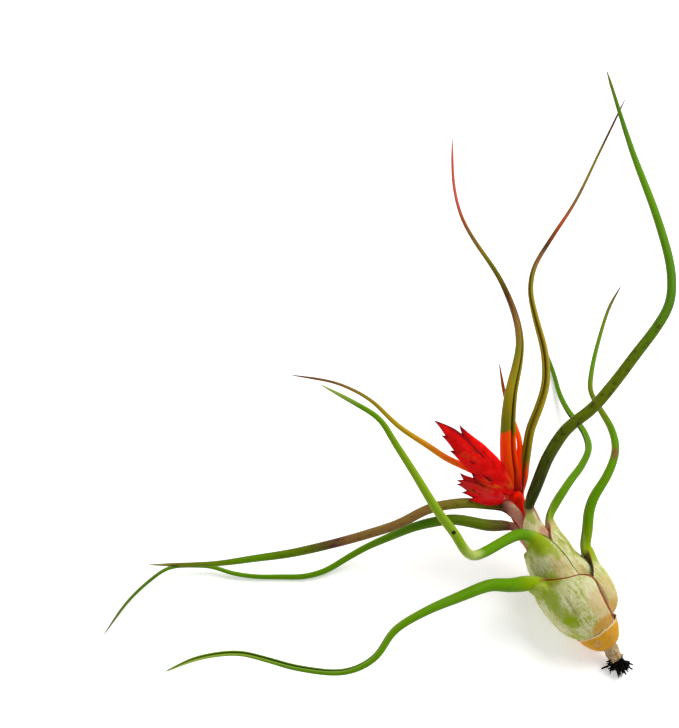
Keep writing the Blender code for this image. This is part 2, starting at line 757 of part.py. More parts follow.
def fuse(base, parts):
    """Join bodies that start inside a base to it, with one Boolean union.

    Args:
        base: The object that they grow from.
        parts: For each body, its rings.
    """
    group = bpy.data.collections.new(base.name + "_parts")
    bpy.context.scene.collection.children.link(group)
    for rings in parts:
        bm = bmesh.new()
        skin(bm, rings)
        bmesh.ops.recalc_face_normals(bm, faces=bm.faces[:])
        mesh = bpy.data.meshes.new(base.name + "_part")
        bm.to_mesh(mesh)
        bm.free()
        group.objects.link(bpy.data.objects.new(base.name + "_part", mesh))
    union = base.modifiers.new("union", "BOOLEAN")
    union.operation = "UNION"
    union.operand_type = "COLLECTION"
    union.collection = group
    union.solver = "EXACT"
    union.use_self = True
    depsgraph = bpy.context.evaluated_depsgraph_get()
    joined = bpy.data.meshes.new_from_object(base.evaluated_get(depsgraph))
    base.modifiers.clear()
    base.data = joined
    for helper in list(group.objects):
        bpy.data.objects.remove(helper, do_unlink=True)
    bpy.data.collections.remove(group)
    return base


def bract_rings(foot, heading, across, keel, length, width, thickness):
    """Give the rings of one keeled bract, a flattened scale with a drawn-out point."""
    stations = [(0.0, 0.5, 0.9), (0.18, 0.85, 1.0), (0.42, 1.0, 0.9), (0.68, 0.7, 0.65),
                (0.88, 0.28, 0.4), (1.0, 0.08, 0.15)]
    rings = []
    for along, wide, deep in stations:
        centre = foot + heading * (length * along)
        half = width / 2 * wide
        high = thickness / 2 * deep
        rings.append([
            centre - across * half, centre - across * half * 0.4 + keel * high * 0.8,
            centre + across * half * 0.4 + keel * high, centre + across * half,
            centre + across * half * 0.4 - keel * high, centre - across * half * 0.4 - keel * high * 0.8,
        ])
    return rings


def build_spike(name):
    """Build a flower spike: a stem with two rows of overlapping keeled bracts, fused to it."""
    spec = SPIKES[name]
    foot = Vector(spec["foot"])
    axis = Vector(spec["tip"]) - foot
    length = axis.length
    heading = axis.normalized()
    keel = (BULB.front - heading * BULB.front.dot(heading)).normalized()
    across = heading.cross(keel)
    reach = length - spec["length"]
    bm = bmesh.new()
    stem_route = [foot, foot + heading * (reach * 0.5), foot + heading * (reach + 3.0)]
    skin(bm, tube_rings(stem_route, [spec["stem"], spec["stem"], spec["stem"] * 0.5], 8, across))
    base = finish_mesh(bm, name)
    parts = []
    count = spec["bracts"]
    for index in range(count):
        part = index / (count - 1)
        side = 1.0 if index % 2 else -1.0
        splay = SPIKE_SPLAY * side * (1.0 - part)
        direction = heading * math.cos(splay) + across * math.sin(splay)
        sideways = across * math.cos(splay) - heading * math.sin(splay)
        start = foot + heading * (0.8 + reach * part) + keel * (0.12 * side)
        grown = SMALL_BRACT + (1.0 - SMALL_BRACT) * min(1.0, 3.0 * part)
        parts.append(bract_rings(start, direction, sideways, keel, spec["length"],
                                 spec["width"] * grown, spec["thickness"] * grown))
    return fuse(base, parts)


def main():
    """Clear the scene and build every piece of the plant."""
    for old in list(bpy.data.objects):
        bpy.data.objects.remove(old, do_unlink=True)
    build_stem()
    build_husk()
    build_roots()
    for layer, names in enumerate(LAYER_ORDER):
        for name in names:
            build_leaf(name, layer)
    for name in BRACT_LEAVES:
        build_bract_leaf(name)
    for name in SPIKES:
        build_spike(name)


main()
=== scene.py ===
"""The looks of a bulbosa air plant that lies on its side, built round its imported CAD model.

Every piece of the plant is a class that makes a finer mesh than its CAD solid, in the same place,
and dresses it with a finish made from nodes. Lengths are in millimetres and angles in degrees,
unless a name or a docstring says otherwise.
"""

import logging
import math
import random
from dataclasses import dataclass
from enum import Enum
from typing import Any

import bmesh
import bpy
import numpy as np
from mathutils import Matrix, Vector, noise


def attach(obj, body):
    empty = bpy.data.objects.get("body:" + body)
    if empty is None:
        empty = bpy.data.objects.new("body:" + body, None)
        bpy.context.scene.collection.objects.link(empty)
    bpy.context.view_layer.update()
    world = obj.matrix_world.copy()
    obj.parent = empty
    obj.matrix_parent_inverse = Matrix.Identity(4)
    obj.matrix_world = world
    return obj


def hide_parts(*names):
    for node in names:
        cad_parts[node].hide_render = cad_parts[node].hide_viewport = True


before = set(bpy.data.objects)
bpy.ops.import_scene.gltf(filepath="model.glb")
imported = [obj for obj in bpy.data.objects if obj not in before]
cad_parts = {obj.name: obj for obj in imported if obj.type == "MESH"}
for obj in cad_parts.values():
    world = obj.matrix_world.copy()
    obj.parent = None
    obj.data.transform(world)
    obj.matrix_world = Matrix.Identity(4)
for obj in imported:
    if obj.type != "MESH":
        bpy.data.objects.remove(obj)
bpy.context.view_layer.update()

LOG = logging.getLogger("air_plant")
MM = 0.001
PHOTO_SIZE = (679, 728)
FAR_INSIDE = 9.0
LEAF_SEED_STEP = 1.5
BRACT_FULLNESS = 1.35

Array = np.ndarray
Material = bpy.types.Material
Socket = bpy.types.NodeSocket
Point = tuple[float, float, float]
Pair = tuple[float, float]


class Tone(Enum):
    """The plant's colours, as sRGB values."""

    LEAF_GREEN = "#568600"
    DEEP_GREEN = "#44700a"
    FRESH_GREEN = "#7f9f18"
    NIGHT_OLIVE = "#30340a"
    DARK_OLIVE = "#535f08"
    OLIVE = "#6c7010"
    MOSS = "#586408"
    GOLD = "#b09418"
    OLIVE_GOLD = "#8c8112"
    PALE_GREEN = "#a9b860"
    TIP_BEIGE = "#b9ae7c"
    TIP_BROWN = "#7c5a30"
    DARK_BROWN = "#34200f"
    RUST = "#a04516"
    ROSE = "#c4564c"
    RED_BROWN = "#7a1d12"
    CRIMSON = "#b01a22"
    PURPLE_BROWN = "#55262a"
    MAROON = "#430f14"
    SCARLET = "#fb1f00"
    ORANGE_RED = "#ff4600"
    ORANGE = "#e67e16"
    BRACT_RED = "#d90706"
    BRACT_WARM = "#f21410"
    BRACT_PINK = "#cf2a2c"
    BRACT_TIP = "#650a14"
    POWDER = "#e2ddba"
    POWDER_GREEN = "#b3b566"
    SHEATH_GREEN = "#929c22"
    PATCH_GREEN = "#8aa002"
    PINK_BUFF = "#cdb27e"
    NECK_ROSE = "#c0786a"
    BASE_AMBER = "#c48618"
    HUSK_AMBER = "#d69c1e"
    HUSK_BROWN = "#8f5a18"
    STUB_TAN = "#cdb184"
    STUB_BROWN = "#6b4c2a"
    ROOT_BLACK = "#0d0a08"
    ROOT_BROWN = "#2e2116"
    FLOOR_WHITE = "#fdfdfd"

    @property
    def linear(self) -> tuple[float, float, float, float]:
        """Give the colour in linear light, with full alpha."""
        channels = [int(self.value[start:start + 2], 16) / 255.0 for start in (1, 3, 5)]
        light = [c / 12.92 if c <= 0.04045 else ((c + 0.055) / 1.055) ** 2.4 for c in channels]
        return (light[0], light[1], light[2], 1.0)


class Fact(Enum):
    """What each point of a mesh knows about its place on its own piece."""

    RUN = "run_mm"
    ACROSS = "across"
    INNER = "inner"
    MARGIN = "margin_mm"
    SHADE = "shade"
    ALONG = "along_mm"
    TURN = "turn_degrees"


class Grain(Enum):
    """The finishes' noises, each with its stretches, scale, detail and roughness.

    A noise with stretches runs over a piece's own facts, each times its stretch. The others run
    over the place in metres, where a scale of 1000 gives lumps of about a millimetre.
    """

    STREAKS = ((3.0, 0.045, 2.0), 2.6, 4.0, 0.6)
    WANDER = ((0.8, 0.09, 1.0), 1.0, 2.0, 0.55)
    CELLS = ((1.6, 0.28, 1.0), 1.4, 5.0, 0.65)
    STROKES = ((0.16, 0.11), 1.5, 5.0, 0.65)
    BROAD = ((), 170.0, 5.0, 0.65)
    SPECKS = ((), 1300.0, 4.0, 0.75)
    FINE = ((), 2600.0, 2.0, 0.55)
    BLEMISH = ((), 1500.0, 3.0, 0.55)
    BRACT_CLOUD = ((), 260.0, 4.0, 0.6)
    BRACT_VEINS = ((7.0, 1.3, 30.0), 2.2, 5.0, 0.6)
    STUB_FIBRE = ((14.0, 0.5), 2.2, 5.0, 0.7)
    STUB_FLAKES = ((), 900.0, 4.0, 0.7)
    HUSK_FIBRE = ((26.0, 0.35), 1.5, 5.0, 0.65)
    HUSK_CLOUD = ((), 420.0, 5.0, 0.7)
    ROOT_CLOUD = ((), 700.0, 4.0, 0.6)
    FLOOR_CLOUD = ((), 3.0, 3.0, 0.55)


def smooth_curve(points: Any, count: int) -> Array:
    """Sample a smooth curve through every one of the points.

    Args:
        points: Rows of coordinates, two or more.
        count: How many samples to take between neighbouring points.

    Returns:
        One row for each sample, from the first point to the last.
    """
    rows = np.array(points, dtype=float)
    padded = np.vstack([2 * rows[0] - rows[1], rows, 2 * rows[-1] - rows[-2]])
    samples = []
    for index in range(len(rows) - 1):
        before, start, end, after = padded[index:index + 4]
        for step in range(count):
            t = step / count
            samples.append(0.5 * (
                2 * start + (end - before) * t
                + (2 * before - 5 * start + 4 * end - after) * t ** 2
                + (3 * start - before - 3 * end + after) * t ** 3
            ))
    samples.append(rows[-1])
    return np.array(samples)


def smooth_rise(low: float, high: float, value: Any) -> Any:
    """Rise from 0 at low to 1 at high, with level ends, for a number or an array."""
    t = np.clip((value - low) / (high - low), 0.0, 1.0)
    return t * t * (3 - 2 * t)


def unit(vector: Array) -> Array:
    """Scale vectors, along their last axis, to length one."""
    return vector / np.maximum(np.linalg.norm(vector, axis=-1, keepdims=True), 1e-12)


def distances(points: Array) -> Array:
    """Give each point's distance from the first one, measured along their line."""
    steps = np.linalg.norm(np.diff(points, axis=0), axis=1)
    return np.concatenate([[0.0], np.cumsum(steps)])


def lumps(points: Array, size: float, seed: float) -> Array:
    """Give smooth noise from about -1 to 1 at points.

    Args:
        points: An array whose last axis holds coordinates.
        size: How wide one lump is.
        seed: Moves the noise, so that pieces differ.

    Returns:
        One value for each point.
    """
    shift = Vector((seed, 1.7 * seed, -0.6 * seed))
    values = [noise.noise(Vector(row) / size + shift) for row in points.reshape(-1, 3)]
    return np.array(values).reshape(points.shape[:-1])


def full_turn(count: int) -> Array:
    """Give even turns once round, in radians."""
    return np.linspace(0.0, math.tau, count, endpoint=False)


def ring_noise(turns: Array, size: float, height: float) -> Array:
    """Give noise at turns round a ring that meets itself; a larger size gives more lumps."""
    return np.array([noise.noise(Vector((math.cos(turn) * size, math.sin(turn) * size, height)))
                     for turn in turns])


def round_ring(middle: Array, side: Array, back: Array, turns: Array,
               radius: Any) -> Array:
    """Lay a ring round a middle, from the side direction on; its radius may differ by turn."""
    outward = side * np.cos(turns)[:, None] + back * np.sin(turns)[:, None]
    return middle + outward * np.reshape(radius, (-1, 1))


def carried_frames(points: Array, side: Array, rolls: Any) -> list[tuple]:
    """Carry a side direction along a line.

    Args:
        points: The line's points.
        side: The wanted side direction at its start.
        rolls: The extra turn about the line at each point, in radians.

    Returns:
        For each point, its side and its back direction.
    """
    headings = unit(np.gradient(points, axis=0))
    frames = []
    for heading, roll in zip(headings, np.broadcast_to(rolls, len(points))):
        side = unit(side - heading * side.dot(heading))
        back = np.cross(side, heading)
        frames.append((side * math.cos(roll) + back * math.sin(roll),
                       back * math.cos(roll) - side * math.sin(roll)))
    return frames


class Skin:
    """Gathers rings of points into one mesh, with what each point knows."""

    def __init__(self) -> None:
        """Start with no points."""
        self.points: list[Array] = []
        self.facts: dict[Fact, list[Array]] = {fact: [] for fact in Fact}
        self.faces: list[tuple[int, ...]] = []
        self.count = 0

    def add(self, points: Array, **facts: Any) -> Array:
        """Add points.

        Args:
            points: Rows of coordinates.
            **facts: For a fact's name in small letters, one number or a number for each point.

        Returns:
            The index of each point.
        """
        rows = np.asarray(points, dtype=float).reshape(-1, 3)
        self.points.append(rows)
        for fact in Fact:
            value = facts.get(fact.name.lower(), 0.0)
            self.facts[fact].append(np.broadcast_to(np.asarray(value, dtype=float), len(rows)))
        first = self.count
        self.count += len(rows)
        return np.arange(first, self.count)

    def join(self, lower: Array, upper: Array) -> None:
        """Join two rings of equal size with quads."""
        for index, corner in enumerate(lower):
            following = (index + 1) % len(lower)
            self.faces.append((corner, lower[following], upper[following], upper[index]))

    def tube(self, loops: list[Array]) -> None:
        """Join each ring to the next one."""
        for lower, upper in zip(loops, loops[1:]):
            self.join(lower, upper)

    def closed_tube(self, loops: list[Array]) -> None:
        """Join each ring to the next one and close both ends with flat faces."""
        self.tube(loops)
        self.cap(loops[0])
        self.cap(loops[-1])

    def pointed_tube(self, loops: list[Array], tip: Array, **facts: Any) -> None:
        """Join each ring to the next one and the last ring to a tip with facts of its own."""
        self.tube(loops)
        peak = int(self.add(tip, **facts)[0])
        ring = loops[-1]
        for index, corner in enumerate(ring):
            self.faces.append((corner, ring[(index + 1) % len(ring)], peak))

    def zip_sides(self, outer: Array, inner: Array) -> None:
        """Fill the strip between two rows of points that may differ in number."""
        at_outer = 0
        at_inner = 0
        while at_outer < len(outer) - 1 or at_inner < len(inner) - 1:
            if (at_outer + 1) / (len(outer) - 1) <= (at_inner + 1) / (len(inner) - 1):
                self.faces.append((outer[at_outer], outer[at_outer + 1], inner[at_inner]))
                at_outer += 1
            else:
                self.faces.append((outer[at_outer], inner[at_inner + 1], inner[at_inner]))
                at_inner += 1

    def cap(self, ring: Any) -> None:
        """Close a ring with one flat face."""
        self.faces.append(tuple(ring))

    def make_piece(self, name: str, material: Material) -> None:
        """Make the dressed mesh object that takes a CAD node's place.

        Args:
            name: The node's name.
            material: The finish, made for this piece.
        """
        mesh = bpy.data.meshes.new(name + "_skin")
        mesh.from_pydata((np.vstack(self.points) * MM).tolist(), [],
                         [tuple(int(i) for i in face) for face in self.faces])
        for fact in Fact:
            attribute = mesh.attributes.new(fact.value, "FLOAT", "POINT")
            values = np.concatenate(self.facts[fact]).astype(np.float32)
            attribute.data.foreach_set("value", values)
        mesh.validate()
        mesh.shade_smooth()
        mesh.materials.append(material)
        self._face_outward(mesh)
        piece = bpy.data.objects.new(name + "_skin", mesh)
        bpy.context.scene.collection.objects.link(piece)
        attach(piece, "root")
        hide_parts(name)
        LOG.info("built %s with %d faces", piece.name, len(mesh.polygons))

    @staticmethod
    def _face_outward(mesh: bpy.types.Mesh) -> None:
        """Turn the faces of a closed mesh outward."""
        work = bmesh.new()
        work.from_mesh(mesh)
        bmesh.ops.recalc_face_normals(work, faces=work.faces[:])
        work.to_mesh(mesh)
        work.free()


class Wave:
    """A shader value on a socket, which can be used in plain sums and products."""

    def __init__(self, finish: "FinishMaker", socket: Socket) -> None:
        """Wrap a socket of a finish's node tree."""
        self.finish = finish
        self.socket = socket

    def _math(self, operation: str, *values: Any) -> "Wave":
        """Add a Math node for one operation and wrap its result."""
        made = self.finish.node("ShaderNodeMath", {"operation": operation},
                                dict(enumerate(values)))
        return Wave(self.finish, made.outputs[0])

    def __add__(self, other: Any) -> "Wave":
        """Add a number or another value."""
        return self._math("ADD", self, other)

    def __sub__(self, other: Any) -> "Wave":
        """Take a number or another value away."""
        return self._math("SUBTRACT", self, other)

    def __rsub__(self, other: Any) -> "Wave":
        """Take this value away from a number."""
        return self._math("SUBTRACT", other, self)

    def __mul__(self, other: Any) -> "Wave":
        """Multiply by a number or another value."""
        return self._math("MULTIPLY", self, other)

    def __truediv__(self, other: Any) -> "Wave":
        """Divide by a number or another value."""
        return self._math("DIVIDE", self, other)

    def __rtruediv__(self, other: Any) -> "Wave":
        """Divide a number by this value."""
        return self._math("DIVIDE", other, self)

    def __pow__(self, other: Any) -> "Wave":
        """Raise to a power."""
        return self._math("POWER", self, other)

    def __abs__(self) -> "Wave":
        """Drop the sign."""
        return self._math("ABSOLUTE", self)

    __radd__ = __add__
    __rmul__ = __mul__

    def rise(self, low: float, high: float) -> "Wave":
        """Rise smoothly from 0 at low to 1 at high; with low above high it falls instead."""
        made = self.finish.node("ShaderNodeMapRange", {"interpolation_type": "SMOOTHSTEP"},
                                {0: self, 1: low, 2: high, 3: 0.0, 4: 1.0})
        return Wave(self.finish, made.outputs[0])


class FinishMaker:
    """Builds one material out of nodes."""

    REFLECTION = 0.05

    def __init__(self, name: str) -> None:
        """Start a material that holds only its output and its main shader."""
        self.material = bpy.data.materials.new(name)
        self.material.use_nodes = True
        self.tree = self.material.node_tree
        self.tree.nodes.clear()
        self.shader = self.node("ShaderNodeBsdfPrincipled", {}, {})
        self.node("ShaderNodeOutputMaterial", {}, {"Surface": self.shader.outputs[0]})

    def node(self, kind: str, settings: dict[str, Any], inputs: dict[Any, Any]) -> bpy.types.Node:
        """Add one node.

        Args:
            kind: The node's type.
            settings: Its own settings; "stops" is a ramp's list of place and tone.
            inputs: For a socket's name or number, a value, a socket or a Wave.

        Returns:
            The new node.
        """
        made = self.tree.nodes.new(kind)
        for name, value in settings.items():
            if name == "stops":
                self._set_stops(made.color_ramp, value)
            else:
                setattr(made, name, value)
        self.fill(made, inputs)
        return made

    def fill(self, node: bpy.types.Node, inputs: dict[Any, Any]) -> None:
        """Set or link a node's sockets, each with a value, a socket or a Wave."""
        for key, value in inputs.items():
            if isinstance(value, Wave):
                value = value.socket
            if isinstance(value, Socket):
                self.tree.links.new(value, node.inputs[key])
            else:
                node.inputs[key].default_value = value

    @staticmethod
    def _set_stops(ramp: bpy.types.ColorRamp, stops: list[tuple[float, Tone]]) -> None:
        """Give a ramp its stops."""
        while len(ramp.elements) > 1:
            ramp.elements.remove(ramp.elements[-1])
        ramp.elements[0].position = stops[0][0]
        ramp.elements[0].color = stops[0][1].linear
        for place, tone in stops[1:]:
            ramp.elements.new(place).color = tone.linear

    def know(self, *facts: Fact) -> list[Wave]:
        """Read what the mesh's points know."""
        made = [self.node("ShaderNodeAttribute", {"attribute_name": fact.value}, {})
                for fact in facts]
        return [Wave(self, node.outputs["Fac"]) for node in made]

    def noise(self, grain: Grain, *over: Wave) -> Wave:
        """Give smooth noise.

        Args:
            grain: Which noise it is.
            *over: For a noise with stretches, the facts that it runs over.

        Returns:
            A value from about 0 to 1.
        """
        stretches, scale, detail, roughness = grain.value
        if stretches:
            stretched = [value * stretch for value, stretch in zip(over, stretches)]
            made = self.node("ShaderNodeCombineXYZ", {}, dict(enumerate(stretched)))
            vector = made.outputs[0]
        else:
            vector = self.node("ShaderNodeTexCoord", {}, {}).outputs["Object"]
        made = self.node("ShaderNodeTexNoise", {},
                         {"Vector": vector, "Scale": scale, "Detail": detail,
                          "Roughness": roughness})
        return Wave(self, made.outputs["Fac"])

    def ramp(self, value: Wave, stops: list[tuple[float, Tone]]) -> Socket:
        """Turn a value from 0 to 1 into a colour."""
        return self.node("ShaderNodeValToRGB", {"stops": stops}, {0: value}).outputs[0]

    def layers(self, colour: Any, *layers: tuple[Any, Any]) -> Socket:
        """Lay colours over a colour, one after another.

        Args:
            colour: The lowest colour, as a socket or a Tone.
            *layers: A share from 0 to 1 and the colour that it lays on, from the lowest up.

        Returns:
            The colour's socket.
        """
        for share, over in layers:
            both = [tone.linear if isinstance(tone, Tone) else tone for tone in (colour, over)]
            made = self.node("ShaderNodeMix", {"data_type": "RGBA", "clamp_factor": True},
                             {0: share, 6: both[0], 7: both[1]})
            colour = made.outputs[2]
        return colour

    def dress(self, colour: Any, roughness: Any, height: Wave | None = None,
              depth_mm: float = 0.0) -> Material:
        """Link the finish to its shader.

        Args:
            colour: The base colour's socket.
            roughness: A number or a value.
            height: The relief, from 0 to 1, if there is any.
            depth_mm: How deep the whole relief is.

        Returns:
            The finished material.
        """
        self.fill(self.shader, {"Base Color": colour, "Roughness": roughness,
                                "Specular IOR Level": self.REFLECTION})
        if height is not None:
            bump = self.node("ShaderNodeBump", {},
                             {"Strength": 1.0, "Distance": depth_mm * MM, "Height": height})
            self.fill(self.shader, {"Normal": bump.outputs[0]})
        return self.material


def oval(first: Wave, second: Wave, middle: Pair, half: Pair) -> Wave:
    """Grow from 0 in the middle of an oval to 1 at its edge, half its size away, and on."""
    return ((first - middle[0]) / half[0]) ** 2.0 + ((second - middle[1]) / half[1]) ** 2.0


@dataclass(frozen=True)
class Spot:
    """A blemish on a blade.

    Its middle has a run from the sheath's top and a place across from -1 to 1. The length and the
    width are half its own, and the width is a share of the blade's.
    """

    run: float
    across: float
    length: float
    width: float
    tone: Tone


@dataclass(frozen=True)
class Patch:
    """A soft patch of another colour on the bulb. Most patches are the sheaths' own colours; two are
    painted shade beside a sheath margin.

    Its middle has a place along the bulb's axis and a turn round it. The reach is half its length
    along the axis and the spread half its width as an angle.
    """

    along: float
    turn: float
    reach: float
    spread: float
    tone: Tone
    strength: float


@dataclass(frozen=True)
class LeafFinish:
    """How one leaf looks from its sheath to its tip.

    Args:
        stops: The blade's colours, each with its run from the sheath's top.
        rim: The colour of the blade's two rolled margins, and rim_share its strength.
        stripe: The colour of the groove between them, and stripe_share its strength.
        margin: The colour of the sheath's margins, and margin_width their width.
        mottle: The colour of the blade's mottling, which mottle_share weighs.
        mottle_end: Beyond this run the mottling fades.
        streak: The colour of the faint streaks along the blade.
        powder: How much pale scurf lies on the sheath.
        sheath: The sheath's own colour, which sheath_pale clouds.
        fade: The sheath's colour gives way to the blade's between these runs.
        wander: How far the blade's colours stray along it.
    """

    stops: tuple[tuple[float, Tone], ...]
    rim: Tone = Tone.PALE_GREEN
    rim_share: float = 0.35
    stripe: Tone = Tone.DEEP_GREEN
    stripe_share: float = 0.5
    margin: Tone = Tone.MAROON
    margin_width: float = 0.45
    mottle: Tone = Tone.DARK_OLIVE
    mottle_end: float = 400.0
    mottle_share: float = 0.35
    streak: Tone = Tone.FRESH_GREEN
    powder: float = 0.75
    sheath: Tone = Tone.SHEATH_GREEN
    sheath_pale: Tone = Tone.POWDER_GREEN
    fade: Pair = (-9.0, 1.0)
    patches: tuple[Patch, ...] = ()
    spots: tuple[Spot, ...] = ()
    wander: float = 9.0

    def material(self, name: str) -> Material:
        """Build the leaf's material out of what its points know."""
        make = FinishMaker(name)
        run, across, inner = make.know(Fact.RUN, Fact.ACROSS, Fact.INNER)
        streaks, wander, cells = [make.noise(grain, across, run, inner) for grain in
                                  (Grain.STREAKS, Grain.WANDER, Grain.CELLS)]
        fine = make.noise(Grain.FINE)
        start = self.stops[0][0]
        length = self.stops[-1][0] - start
        stops = [((place - start) / length, tone) for place, tone in self.stops]
        strayed = run + (wander - 0.5) * self.wander
        blade = run.rise(-2.0, 6.0)
        mottled = cells.rise(0.5, 0.68) * run.rise(self.mottle_end + 30.0, self.mottle_end)
        edge = abs(across).rise(0.8, 0.98) * blade * (1.0 - inner)
        colour = make.layers(
            make.ramp((strayed - start) / length, stops),
            (mottled * self.mottle_share, self.mottle),
            (streaks.rise(0.42, 0.75) * 0.22, self.streak),
            (edge * self.rim_share, self.rim),
            (inner * blade * self.stripe_share, self.stripe))
        colour = self._sheath(make, colour, run)
        for spot in self.spots:
            far = oval(run, across, (spot.run, spot.across), (spot.length, spot.width))
            ragged = far + (make.noise(Grain.BLEMISH) - 0.5) * 0.8
            colour = make.layers(colour, (ragged.rise(1.1, 0.6) * (1.0 - inner), spot.tone))
        relief = streaks * 0.5 + fine * 0.35 + cells * 0.3
        rough = 0.36 + fine * 0.14 + (1.0 - blade) * 0.22
        return make.dress(colour, rough, relief, depth_mm=0.16)

    def _sheath(self, make: FinishMaker, colour: Any, run: Wave) -> Socket:
        """Lay the sheath's powder, patches and dark margins over the blade's colour."""
        along, turn, margin = make.know(Fact.ALONG, Fact.TURN, Fact.MARGIN)
        broad = make.noise(Grain.BROAD)
        specks = make.noise(Grain.SPECKS)
        strokes = make.noise(Grain.STROKES, turn, along)
        clouds = (broad * 0.5 + strokes * 0.5).rise(0.36, 0.62)
        scurf = (strokes * 0.35 + broad * 0.35 + specks * 0.45).rise(0.49, 0.68)
        body = make.layers(self.sheath, (clouds, self.sheath_pale),
                           (scurf * self.powder, Tone.POWDER))
        fray = (broad - 0.5) * 1.5 + (specks - 0.5) * 1.2 + (strokes - 0.5) * 0.8
        for patch in self.patches:
            far = oval(along, turn, (patch.along, patch.turn), (patch.reach, patch.spread))
            cover = (far + fray).rise(1.45, 0.35) * (strokes.rise(0.3, 0.62) * 0.25 + 0.75)
            body = make.layers(body, (cover * patch.strength, patch.tone))
        freckles = (specks * 0.6 + broad * 0.4).rise(0.56, 0.7)
        body = make.layers(body, (freckles * 0.5, Tone.MOSS))
        frayed = margin + (specks - 0.5) * 0.35 + (broad - 0.5) * 0.5
        line = frayed.rise(self.margin_width, self.margin_width * 0.5) * run.rise(0.5, -1.5)
        return make.layers(colour, (run.rise(self.fade[1], self.fade[0]), body),
                           (line * 0.9, self.margin))


@dataclass
class BulbForm:
    """The bulb's axis and outer profile, on which every sheath is laid out.

    Args:
        foot: Where its axis starts.
        neck: Where its axis leaves the neck.
        show_side: The direction of the angle 0 round it.
        profile: Places along the axis, each with the bulb's radius there.
        wall: A sheath's thickness.
        neck_thickening: Between these places a sheath grows to its thickness at the neck.
        layer_gap: The room between a sheath and the one over it.
        stem_reach: A sheath starts where its inner side is this far from the axis.
        emerging: An inner sheath rises to the surface between these distances outside an outer one.
        hollow: A shallow hollow's place along the axis, angle, length, spread and depth.
    """

    foot: Point = (9.4, -13.2, 6.9)
    neck: Point = (-21.0, 29.0, 26.8)
    show_side: Point = (-0.22, -0.29, 0.93)
    profile: tuple[Pair, ...] = (
        (4.2, 3.8), (5.0, 6.2), (6.8, 8.8), (9.0, 10.6), (12.0, 12.3), (16.0, 13.3),
        (20.0, 13.5), (24.0, 12.9), (28.0, 11.4), (32.0, 9.9), (36.0, 8.6), (40.0, 7.3),
        (45.0, 6.3), (50.0, 5.4), (58.0, 4.6),
    )
    wall: float = 0.9
    neck_thickening: Pair = (38.0, 47.0)
    layer_gap: float = 0.6
    stem_reach: float = 3.55
    emerging: Pair = (1.8, 7.0)
    hollow: tuple[float, ...] = (16.0, -88.0, 8.0, 34.0, 1.3)

    def __post_init__(self) -> None:
        """Work out the directions and the profile's curve."""
        self.start = np.array(self.foot)
        self.axis = unit(np.array(self.neck) - self.start)
        show = np.array(self.show_side)
        self.front = unit(show - self.axis * show.dot(self.axis))
        self.side = np.cross(self.axis, self.front)
        curve = smooth_curve(self.profile, 12)
        self.curve_along = curve[:, 0]
        self.curve_radius = curve[:, 1]
        self.curve_slope = np.gradient(self.curve_radius, self.curve_along)

    def place(self, along: Any, angle: Any, depth: Any) -> Array:
        """Give the points under the bulb's surface.

        Args:
            along: Where the surface points lie along the axis.
            angle: The angles round the axis.
            depth: How far below the surface the points lie.

        Returns:
            Their coordinates, with one more axis than the arguments.
        """
        slope = np.interp(along, self.curve_along, self.curve_slope)
        size = np.hypot(1.0, slope)
        height = along + depth * slope / size
        reach = self.radius(along) - self.sunken(along, angle) - depth / size
        turn = np.radians(angle)[..., None]
        outward = self.front * np.cos(turn) + self.side * np.sin(turn)
        return self.start + self.axis * height[..., None] + outward * reach[..., None]

    def sunken(self, along: Any, angle: Any) -> Any:
        """Give how far the surface lies under its round profile."""
        middle, turn, length, spread, depth = self.hollow
        apart = (angle - turn + 180.0) % 360.0 - 180.0
        return depth * np.exp(-((along - middle) / length) ** 2 - (apart / spread) ** 2)

    def radius(self, along: Any) -> Any:
        """Give the surface's radius at places along the axis."""
        return np.interp(along, self.curve_along, self.curve_radius)

    def sheath_foot(self, depth: float) -> float:
        """Find where a sheath whose inner side lies at this depth meets the stem."""
        size = np.hypot(1.0, self.curve_slope)
        clear = self.curve_radius - depth / size >= self.stem_reach
        return float(self.curve_along[int(np.argmax(clear))])


